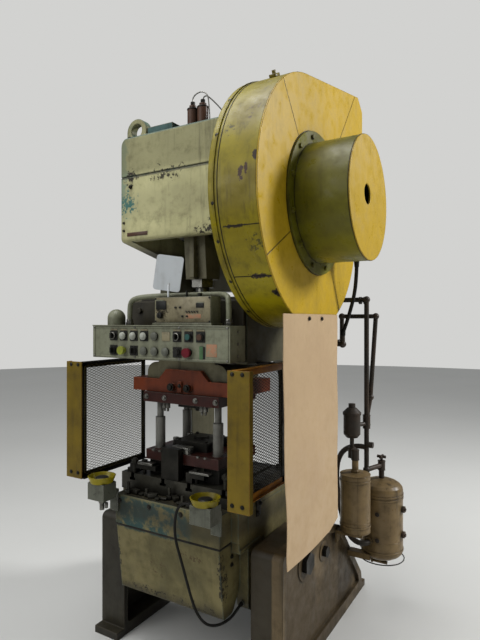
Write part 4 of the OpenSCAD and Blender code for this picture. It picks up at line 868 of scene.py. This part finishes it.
class PRESS_OT_cords(bpy.types.Operator):
    """Lays the palm box's cable and the clutch's air hose"""

    bl_idname = "press.cords"
    bl_label = "Cable and hose"

    def execute(self, context):
        for name, node, route, radius, stiffness, lay in (
            ("palm_lead", "palm_cable", CABLE_ROUTE, 6, "medium", "hanging"),
            ("air_hose", "clutch_hose", HOSE_ROUTE, 9, "stiff", "hanging"),
        ):
            lead = wire_piece(name, [route], radius, "black_rubber", replaces=(node,))
        # Tapered rubber sleeves at both ends of the cable and of the hose
        bm = bmesh.new()
        rod_into(bm, (230, -385, 834), (196, -385, 835), 12, 20, radius_end=7.5, chamfer=0.8)
        rod_into(bm, (700, 262, 1890), (700, 263, 1850), 14, 20, radius_end=10.5, chamfer=0.8)
        rod_into(bm, (600, 350, 1525), (606, 347, 1556), 14, 20, radius_end=10.5, chamfer=0.8)
        rod_into(bm, (306, -129, 340), (306, -156, 338), 11, 20, radius_end=7.5, chamfer=0.8)
        finish_piece("strain_reliefs", bm, "black_rubber")
        return {"FINISHED"}


class PRESS_OT_finishes(bpy.types.Operator):
    """Paints the parts of the frame model that are shown as they are"""

    bl_idname = "press.finishes"
    bl_label = "Paint and metal"

    def execute(self, context):
        for name, nodes in NODE_FINISH.items():
            for node in nodes:
                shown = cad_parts[node]
                shown.data.materials.clear()
                shown.data.materials.append(finish(name))
        return {"FINISHED"}


class PRESS_OT_skins(bpy.types.Operator):
    """Lays smooth skins over the rounded castings and sheets, whose facets would show"""

    bl_idname = "press.skins"
    bl_label = "Smooth skins"

    def execute(self, context):
        for node, finish_name, slot, sharp in (
            ("guard_band", "olive_yellow_sheet", "guard_yellow", 20),
            ("ring_guards", "olive_yellow_sheet", "guard_yellow", 40),
            ("sign_plate", "white_sign", "white_enamel", 40),
        ):
            bm = bmesh.new()
            bm.from_mesh(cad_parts[node].data)
            bmesh.ops.remove_doubles(bm, verts=bm.verts, dist=0.00002)
            bmesh.ops.dissolve_limit(bm, angle_limit=0.001, verts=bm.verts, edges=bm.edges)
            if node == "guard_band":
                # Cuts across the drum's axis keep the long facets of the sheet in even strips
                for x in (0.47, 0.505, 0.54, 0.575):
                    cut(bm, (x, 0, 0), (1, 0, 0))
            finish_piece(f"{node}_skin", bm, finish_name, sharp=sharp, replaces=(node,))
        return {"FINISHED"}


class PRESS_OT_guard(bpy.types.Operator):
    """Adds the guard's dark seams, bolts, top lug and the drum's rims"""

    bl_idname = "press.guard"
    bl_label = "Guard seams and bolts"

    def execute(self, context):
        bm = bmesh.new()
        ring_into(bm, (436, 439), (539, 541), 102, 270, steps=120)
        ring_into(bm, (606, 607), (307, 310), steps=96)
        ring_into(bm, (616, 618), (256.5, 258.5), steps=96)
        for a, x0 in ((197.5, 448), (219, 436)):
            radial_box_into(bm, (x0, 600), (539.2, 540.8), 1.4, a)
        for a in (128, 52, -8, -58, -150):
            radial_box_into(bm, (604.4, 605.5), (312, 536), 1.3, a)
        for a, b in (((437.5, -112, 2634), (437.5, 570, 2784)), ((437.5, 645, 2727), (437.5, 645, 2607))):
            rod_into(bm, a, b, 1.6, 6)
        ring_into(bm, (834.5, 837), (256, 258.4), steps=96)
        finish_piece("guard_seams", bm, "black_steel")
        bm = bmesh.new()
        for a in (112, 140, 160, 188, 203, 221, 240, 262, 285, 310):
            bolt_into(bm, on_guard(a, 536, 417), off_guard(a), 13, 8)
        bolt_into(bm, on_guard(228, BAND_R, 590), off_guard(228), 10, 6)
        for a in range(0, 360, 45):
            rod_into(bm, on_guard(a + 20, 249, 836), on_guard(a + 20, 249, 840.8), 5, 12)
        finish_piece("guard_bolts", bm, "black_steel")
        bm = bmesh.new()
        radial_box_into(bm, (512, 542), (538, 552), 22, 117.5, 2)
        radial_box_into(bm, (520, 534), (550, 566), 5, 117.5, 1.5)
        finish_piece("guard_lug_and_rim", bm, "olive_yellow_sheet")
        return {"FINISHED"}


class PRESS_OT_mesh(bpy.types.Operator):
    """Builds the two framed sheets of expanded metal"""

    bl_idname = "press.mesh"
    bl_label = "Side guards of expanded metal"

    def execute(self, context):
        sizes = context.scene.press_panels
        y0, y1, z0, z1, rail = -394, 56, 848, 1402, 30
        for side, node, mesh_finish, rail_finish in (
            # The left frame's rails take the black steel finish for the shade they lie in: painted shade
            (-1, "left_mesh_panel", "mesh_olive", "black_steel"),
            (1, "right_mesh_panel", "black_mesh", "orange_rail"),
        ):
            bm = bmesh.new()
            bmesh.ops.create_grid(bm, x_segments=54, y_segments=54, size=27.0)
            bmesh.ops.rotate(bm, cent=(0, 0, 0), matrix=Matrix.Rotation(math.pi / 4, 3, "Z"), verts=bm.verts)
            wide, high = sizes.mesh_long / CELL_DIAGONAL, sizes.mesh_short / CELL_DIAGONAL
            bmesh.ops.scale(bm, vec=(wide, high, 1), verts=bm.verts)
            half_y, half_z = (y1 - y0 - rail) / 2000, (z1 - z0 - rail) / 2000
            for x, y in ((1, 0), (-1, 0), (0, 1), (0, -1)):
                cut(bm, (x * half_y, y * half_z, 0), (x, y, 0), clear=True)
            strand = sizes.strand / (1000 * (1 if side < 0 else RIGHT_STRAND))
            bmesh.ops.wireframe(
                bm, faces=bm.faces, thickness=strand, use_boundary=True, use_even_offset=True,
                use_replace=True,
            )
            stand_up(bm, (side * 420, (y0 + y1) / 2, (z0 + z1) / 2))
            finish_piece("expanded_metal", bm, mesh_finish, replaces=(node,), tidy=False)
            bm = bmesh.new()
            inner, outer = side * 405, side * 435
            low, high = min(inner, outer), max(inner, outer)
            for a, b in (((y0, z0), (y1, z0 + rail)), ((y0, z1 - rail), (y1, z1))):
                box_into(bm, (side * 423 - 2, a[0], a[1]), (side * 423 + 2, b[0], b[1]), 0.8)
            for a in (z0, z1 - 4):
                box_into(bm, (low, y0, a), (high, y1, a + 4), 0.8)
            finish_piece("mesh_rails", bm, rail_finish)
            bm = bmesh.new()
            for a in (y0, y1 - rail):
                box_into(bm, (side * 423 - 2, a, z0 + 4), (side * 423 + 2, a + rail, z1 - 4), 0.8)
            wall = side * 335
            low, high = min(wall, inner), max(wall, inner)
            box_into(bm, (low, y1 - 110, z1 - 2), (high, y1 - 60, z1 + 6), 1)
            box_into(bm, (low, -60, z0 - 6), (high, -20, z0), 1)
            box_into(bm, (min(wall, wall + side * 6), -60, 705), (max(wall, wall + side * 6), -20, z0 - 4), 1)
            for y in (-54, -30):
                bolt_into(bm, (wall + side * 6, y, 725 if y == -54 else 760), (side, 0, 0), 14, 9)
            finish_piece("mesh_lugs", bm, "black_steel")
        bm = bmesh.new()
        for x in (417, 463, -441, -487):
            for z in (875, 1388):
                bolt_into(bm, (x, -400, z), (0, -1, 0), 11, 5)
        finish_piece("post_bolts", bm, "black_steel")
        return {"FINISHED"}


class PRESS_OT_board(bpy.types.Operator):
    """Hangs the tan board from the guard's face, bowed and creased a little"""

    bl_idname = "press.board"
    bl_label = "Hanging board"

    def execute(self, context):
        thick = context.scene.press_panels.board / 1000
        board_top, guard_face = 1.625, 0.6085
        bm = bmesh.new()
        bmesh.ops.create_grid(bm, x_segments=36, y_segments=64, size=0.5)
        bmesh.ops.scale(bm, vec=(0.66, 1.04, 1), verts=bm.verts)
        stand_up(bm, (0, -30, 1126))
        corners = [
            (-338, 1625), (-336, 1400), (-331, 1150), (-309, 627),
            (132, 627), (233, 663), (240, 790), (250, 1625),
        ]
        for i in (0, 2, 3, 4, 5, 6, 7):
            start, end = place((0, *corners[i])), place((0, *corners[(i + 1) % 8]))
            outward = Vector((0, (end - start).z, -(end - start).y))
            if (Vector((0, -0.4, 1.1)) - start).dot(outward) > 0:
                outward.negate()
            cut(bm, start, outward, clear=True)
        for vert in bm.verts:
            y, z = vert.co.y, vert.co.z
            drop = board_top - z
            bow = 0.007 * drop * math.sin(7.0 * y + 1.5) + 0.003 * drop * math.sin(13 * z + 4 * y)
            vert.co.x = guard_face + 0.004 * drop + abs(bow)
            vert.co.y += 0.0025 * math.sin(17 * z)
        bmesh.ops.solidify(bm, geom=bm.faces[:], thickness=thick)
        finish_piece("tan_board", bm, "tan_board", replaces=("hanging_sheet",))
        bm = bmesh.new()
        for y in (-92, 48):
            bolt_into(bm, (611, y, 1606), (1, 0, 0), 12, 6)
        finish_piece("board_clips", bm, "black_steel")
        return {"FINISHED"}


class PRESS_OT_crown(bpy.types.Operator):
    """Adds the crown's plugs, its worn plate, the lubricator's lines and the motor's boxes"""

    bl_idname = "press.crown"
    bl_label = "Crown fittings"

    def execute(self, context):
        bm = bmesh.new()
        rod_into(bm, (-273, -219, 2248), (-273, -230, 2248), 8, 20, chamfer=1)
        for z in (2038, 2076):
            rod_into(bm, (-318, -219, z), (-318, -226, z), 6, 16, chamfer=1)
        for x in (-290, 270):
            bolt_into(bm, (x, -200, 2507 if x > 0 else 2495), (0, 0, 1), 18, 12)
        for at in ((19, -110), (77, -110)):
            rod_into(bm, (*at, 2621), (*at, 2640), 11, 6, chamfer=1)
            rod_into(bm, (*at, 2600), (*at, 2606), 28, 28, chamfer=1.5)
            rod_into(bm, (*at, 2524), (*at, 2531), 29, 28, chamfer=1.5)
        finish_piece("crown_plugs", bm, "black_steel")
        bm = bmesh.new()
        box_into(bm, (-297, -221.6, 2008), (-168, -220, 2026), 0.6)
        finish_piece("worn_plate", bm, "brown_machine_paint")
        wire_piece("oil_lines", OIL_ROUTES, 3, "ground_steel")
        bm = bmesh.new()
        box_into(bm, (120, 628, 2595), (250, 700, 2690), 6)
        box_into(bm, (114, 698, 2589), (256, 708, 2696), 3)
        for x in (124, 246):
            for z in (2599, 2686):
                rod_into(bm, (x, 707, z), (x, 713, z), 5, 6)
        ring_into(bm, (36, 44), (20, 112), centre=(520, 2640), steps=48)
        for r in (40, 65, 90):
            ring_into(bm, (33, 37), (r, r + 8), centre=(520, 2640), steps=48)
        finish_piece("motor_boxes", bm, "oiled_iron")
        return {"FINISHED"}


def column_x(i):
    """Place across of a column of devices on the control panel."""
    return (i - 4) * 61 - 4


class PRESS_OT_controls(bpy.types.Operator):
    """Adds the lenses, plugs, labels and trims of the control panel and of the small box on it"""

    bl_idname = "press.controls"
    bl_label = "Control panel details"

    def execute(self, context):
        top, low, front = 1528.5, 1462.5, -360
        bm = bmesh.new()
        for z0, z1 in ((1429, 1437), (1563, 1571)):
            box_into(bm, (-375, -362, z0), (375, -359, z1), 0.8)
        for x0, x1 in ((-375, -367), (367, 375)):
            box_into(bm, (x0, -362, 1437), (x1, -359, 1563), 0.8)
        box_into(bm, (-383, -366, 1573), (383, -352, 1577), 1)
        finish_piece("panel_lid", bm, "enclosure_enamel")
        bm = bmesh.new()
        for x in (-371, -120, 130, 371):
            for z in (1433, 1567):
                rod_into(bm, (x, -361, z), (x, -365, z), 4.5, 16, chamfer=0.8)
        for z in (1450, 1500, 1550):
            rod_into(bm, (382, -300, z), (386, -300, z), 6, 12, chamfer=0.8)
        for x in (-220, 330):
            rod_into(bm, (x, -285, 1575), (x, -285, 1590), 19, 6, chamfer=1)
            rod_into(bm, (x, -285, 1588), (x, -285, 1604), 15.5, 20, chamfer=1)
        for i in (0, 6):
            rod_into(bm, (column_x(i), front - 11, top), (column_x(i), front - 14, top), 17, 24, chamfer=1)
        finish_piece("panel_screws", bm, "ground_steel")
        bm = bmesh.new()
        for i in (1, 2, 3):
            rod_into(bm, (column_x(i), front - 8, top), (column_x(i), front - 15, top), 17, 16, chamfer=1)
            dome_into(bm, (column_x(i), front - 14.5, top), (0, -1, 0), 14, 9)
        finish_piece("lamp_lenses", bm, "grey_lens")
        bm = bmesh.new()
        for i, z in ((4, top), (3, low), (4, low), (5, low)):
            rod_into(bm, (column_x(i), front - 7, z), (column_x(i), front - 12, z), 18.5, 24, chamfer=1.5)
            dome_into(bm, (column_x(i), front - 11.8, z), (0, -1, 0), 15.5, 5)
        finish_piece("hole_plugs", bm, "grey_plug")
        bm = bmesh.new()
        box_into(bm, (column_x(5) - 22, front - 2, top - 20), (column_x(5) + 22, front, top + 20), 0.6)
        for i in (0, 1, 2, 3, 6, 7, 8):
            box_into(bm, (column_x(i) - 20, front - 1.2, top + 23), (column_x(i) + 20, front, top + 31), 0.3)
        finish_piece("paper_labels", bm, "box_beige")
        bm = bmesh.new()
        box_into(bm, (234, front - 2.4, 1436), (252, front - 1.2, 1490), 0.3)
        finish_piece("green_label", bm, "green_label")
        bm = bmesh.new()
        box_into(bm, (268, front - 1, 1448), (320, front, 1500), 0.3)
        finish_piece("faded_sticker", bm, "faded_sticker")
        bm = bmesh.new()
        box_into(bm, (-20, -335, 1646), (36, -331, 1684), 1)
        box_into(bm, (196, -334, 1652), (236, -331, 1672), 1)
        rod_into(bm, (4, BOX_FRONT, 1620), (4, -346, 1620), 13, 20, chamfer=1.5)
        box_into(bm, (1, -350, 1609), (7, -345, 1631), 1)
        for x, z in ((88, 1654), (112, 1654), (125, 1616), (150, 1616)):
            rod_into(bm, (x, BOX_FRONT, z), (x, -338, z), 4.5, 14, chamfer=0.8)
        for x in (148, 162, 176, 190, 204):
            rod_into(bm, (x, BOX_FRONT, 1632), (x + 1, -341, 1637), 2.6, 10, chamfer=0.5)
        rod_into(bm, (120, -295, 1700), (120, -295, 1728), 5, 14, chamfer=1)
        rod_into(bm, (190, -295, 1698), (190, -295, 1716), 11, 16, chamfer=1)
        for x in (-24, 264):
            for z in (1594, 1694):
                rod_into(bm, (x, BOX_FRONT, z), (x, -334, z), 4, 12, chamfer=0.6)
        finish_piece("box_knobs", bm, "black_plastic")
        bm = bmesh.new()
        box_into(bm, (-28, -331.5, 1590), (268, BOX_FRONT, 1698), 0.6)
        finish_piece("box_face", bm, "box_beige")
        bm = bmesh.new()
        box_into(bm, (143, -332.4, 1606), (221, -331.4, 1626), 0.3)
        finish_piece("box_label", bm, "faded_sticker")
        # Palm stations: domed mushroom heads, cover screws and the pipe below the left box
        for x, node in ((-300, "left_palm_button"), (280, "right_palm_button")):
            bm = bmesh.new()
            rod_into(bm, (x, PALM_Y, 842), (x, PALM_Y, 864), 14, 24, chamfer=0.6)
            rod_into(bm, (x, PALM_Y, 862), (x, PALM_Y, 870), 29, 40, radius_end=31, chamfer=1.5)
            dome_into(bm, (x, PALM_Y, 870), (0, 0, 1), 31, 9, 40)
            finish_piece("palm_head", bm, "black_plastic", body=node, replaces=(node,))
        bm = bmesh.new()
        for x in (-300, 280):
            for sx in (-44, 44):
                for sy in (-34, 34):
                    rod_into(bm, (x + sx, PALM_Y + sy, 849), (x + sx, PALM_Y + sy, 853), 4, 12, chamfer=0.6)
        rod_into(bm, (-300, PALM_Y, 774), (-300, PALM_Y, 752), 15, 6, chamfer=1)
        rod_into(bm, (-300, PALM_Y, 756), (-300, PALM_Y, 722), 11, 20, chamfer=1)
        rod_into(bm, (-272, PALM_Y, 760), (-272, PALM_Y, 735), 8, 14, chamfer=1)
        finish_piece("palm_screws", bm, "ground_steel")
        return {"FINISHED"}


class PRESS_OT_dies(bpy.types.Operator):
    """Dresses the die space and the bed with studs, nuts, straps and springs"""

    bl_idname = "press.dies"
    bl_label = "Die space and bed"

    def execute(self, context):
        scatter = random.Random(7)
        bm = bmesh.new()
        for i in range(13):
            x = -235 + 36 * i + scatter.uniform(-8, 8)
            if 150 < x < 240:
                continue
            y = scatter.uniform(-282, -240)
            kind = i % 3
            if kind == 0:
                rod_into(bm, (x, y, BED_TOP), (x, y, BED_TOP + scatter.uniform(35, 70)), 8, 12, chamfer=1)
                rod_into(bm, (x, y, 778), (x, y, 795), 15, 6, chamfer=1.5)
            elif kind == 1:
                turn = Matrix.Rotation(scatter.uniform(-0.7, 0.7), 3, "Z")
                box_into(bm, (x - 22, y - 13, BED_TOP), (x + 22, y + 13, 796), 2, turn)
            else:
                rod_into(bm, (x, y, BED_TOP), (x, y, 786), 15, 6, chamfer=1.5)
                rod_into(bm, (x + 14, y + 6, 783), (x + 44, y + 10, 783), 7, 12, chamfer=1)
        for x in (-262, 262):
            rod_into(bm, (x, -203, 855), (x, -203, 925), 10, 12, chamfer=1)
            rod_into(bm, (x, -203, 901), (x, -203, 919), 17, 6, chamfer=1.5)
        finish_piece("bed_clutter", bm, "oiled_iron")
        bm = bmesh.new()
        box_into(bm, (-235, -216, 902), (-145, -176, 914), 2)
        box_into(bm, (70, -214, 902), (180, -178, 912), 2)
        for x in (-150, -110, 110, 150):
            rod_into(bm, (x, -196, SHOE_TOP), (x, -196, 981), 9, 20, chamfer=1)
        for x in (-120, 120):
            for y in (-60, 60):
                rod_into(bm, (x, y, SHOE_TOP), (x, y, 1016), 15, 24, chamfer=1.5)
        box_into(bm, (-60, -178, SHOE_TOP), (40, -130, 1003), 2)
        box_into(bm, (-140, -30, SHOE_TOP), (-112, 30, 1000), 2)
        finish_piece("die_studs", bm, "ground_steel")
        bm = bmesh.new()
        for x in (-120, -100, 100, 120):
            for y in (-150, 110):
                rod_into(bm, (x, y, 1206), (x, y, 1176), 12, 20, chamfer=1)
                rod_into(bm, (x, y, 1178), (x, y, 1160), 6, 16, chamfer=1)
        for x in (-200, -90, 90, 200):
            bolt_into(bm, (x, -190, 1230), (0, -1, 0), 17, 10)
        finish_piece("upper_die_bolts", bm, "ground_steel", body="slide")
        bm = bmesh.new()
        for x in (-60, 35):
            bolt_into(bm, (x, -183, 1282), (0, -1, 0), 24, 12)
        bolt_into(bm, (-12, -175, 1290), (0, -1, 0), 12, 8)
        finish_piece("ram_bolts", bm, "black_steel", body="slide")
        bm = bmesh.new()
        box_into(bm, (-295, -301.2, 628), (295, -299.5, 637), 0.3)
        box_into(bm, (294, -300, 628), (296, -210, 637), 0.3)
        for z in (569, 533):
            bolt_into(bm, (289.5, -198, z), (1, 0, 0), 13, 8)
        for x in (-270, -90, 90, 270):
            bolt_into(bm, (x, -300, 745), (0, -1, 0), 15, 6)
        finish_piece("bed_seam", bm, "black_steel")
        return {"FINISHED"}


class PRESS_OT_air(bpy.types.Operator):
    """Adds the tanks' plugs, wire ring and fittings"""

    bl_idname = "press.air"
    bl_label = "Air equipment details"

    def execute(self, context):
        bm = bmesh.new()
        for z in (567, 429):
            rod_into(bm, (786, 762, z), (806, 760, z), 17, 24, chamfer=1.5)
            rod_into(bm, (805, 760, z), (813, 759, z), 10, 6, chamfer=1)
        for z in (556, 416):
            rod_into(bm, (689, 643.5, z), (689, 640, z), 13, 6, chamfer=1)
        for x, y, z in ((677, 770, 790), (632, 640, 1060), (585, 537, 900), (615, 500, 900)):
            for dz in (-27, 21):
                rod_into(bm, (x, y, z + dz), (x, y, z + dz + 6), 22, 8, chamfer=1)
        finish_piece("tank_plugs", bm, "black_iron_pipe")
        turns = [math.radians(a) for a in range(0, 360, 20)]
        wire_piece(
            "wire_ring", [[(677 + 121 * math.cos(a), 770 + 121 * math.sin(a), 286) for a in [*turns, 0]]],
            3, "black_steel",
        )
        bm = bmesh.new()
        rod_into(bm, (615, 500, 812), (615, 500, 876), 17, 24, chamfer=2)
        rod_into(bm, (615, 500, 810), (615, 500, 822), 24, 8, chamfer=2)
        for z in (507, 560, 800):
            rod_into(bm, (615, 500, z), (615, 500, z + 4), 78.2, 64, chamfer=1)
        for z in (392, 640):
            rod_into(bm, (677, 770, z), (677, 770, z + 4), 116.2, 64, chamfer=1)
        finish_piece("tank_seams", bm, "beige_enamel")
        return {"FINISHED"}


OPERATORS = (
    PRESS_OT_stage, PRESS_OT_cords, PRESS_OT_finishes, PRESS_OT_skins, PRESS_OT_guard, PRESS_OT_mesh,
    PRESS_OT_board, PRESS_OT_crown, PRESS_OT_controls, PRESS_OT_dies, PRESS_OT_air,
)


class PRESS_PT_panel(bpy.types.Panel):
    """Buttons for each piece of the press"""

    bl_idname = "PRESS_PT_panel"
    bl_label = "Stamping press"
    bl_space_type = "VIEW_3D"
    bl_region_type = "UI"
    bl_category = "Press"

    def draw(self, context):
        for operator in OPERATORS:
            self.layout.operator(operator.bl_idname)
        for name in ("camera_place", "camera_turn", "lens", "floor_colour"):
            self.layout.prop(context.scene.press_stage, name)
        for name in ("mesh_long", "mesh_short", "strand", "board"):
            self.layout.prop(context.scene.press_panels, name)


CLASSES = (StageSizes, PanelSizes, *OPERATORS, PRESS_PT_panel)


def register():
    for cls in CLASSES:
        bpy.utils.register_class(cls)
    bpy.types.Scene.press_stage = bpy.props.PointerProperty(type=StageSizes)
    bpy.types.Scene.press_panels = bpy.props.PointerProperty(type=PanelSizes)


def unregister():
    del bpy.types.Scene.press_panels
    del bpy.types.Scene.press_stage
    for cls in reversed(CLASSES):
        bpy.utils.unregister_class(cls)


def main():
    register()
    for operator in OPERATORS:
        group, call = operator.bl_idname.split(".")
        getattr(getattr(bpy.ops, group), call)()


if __name__ == "__main__":
    main()
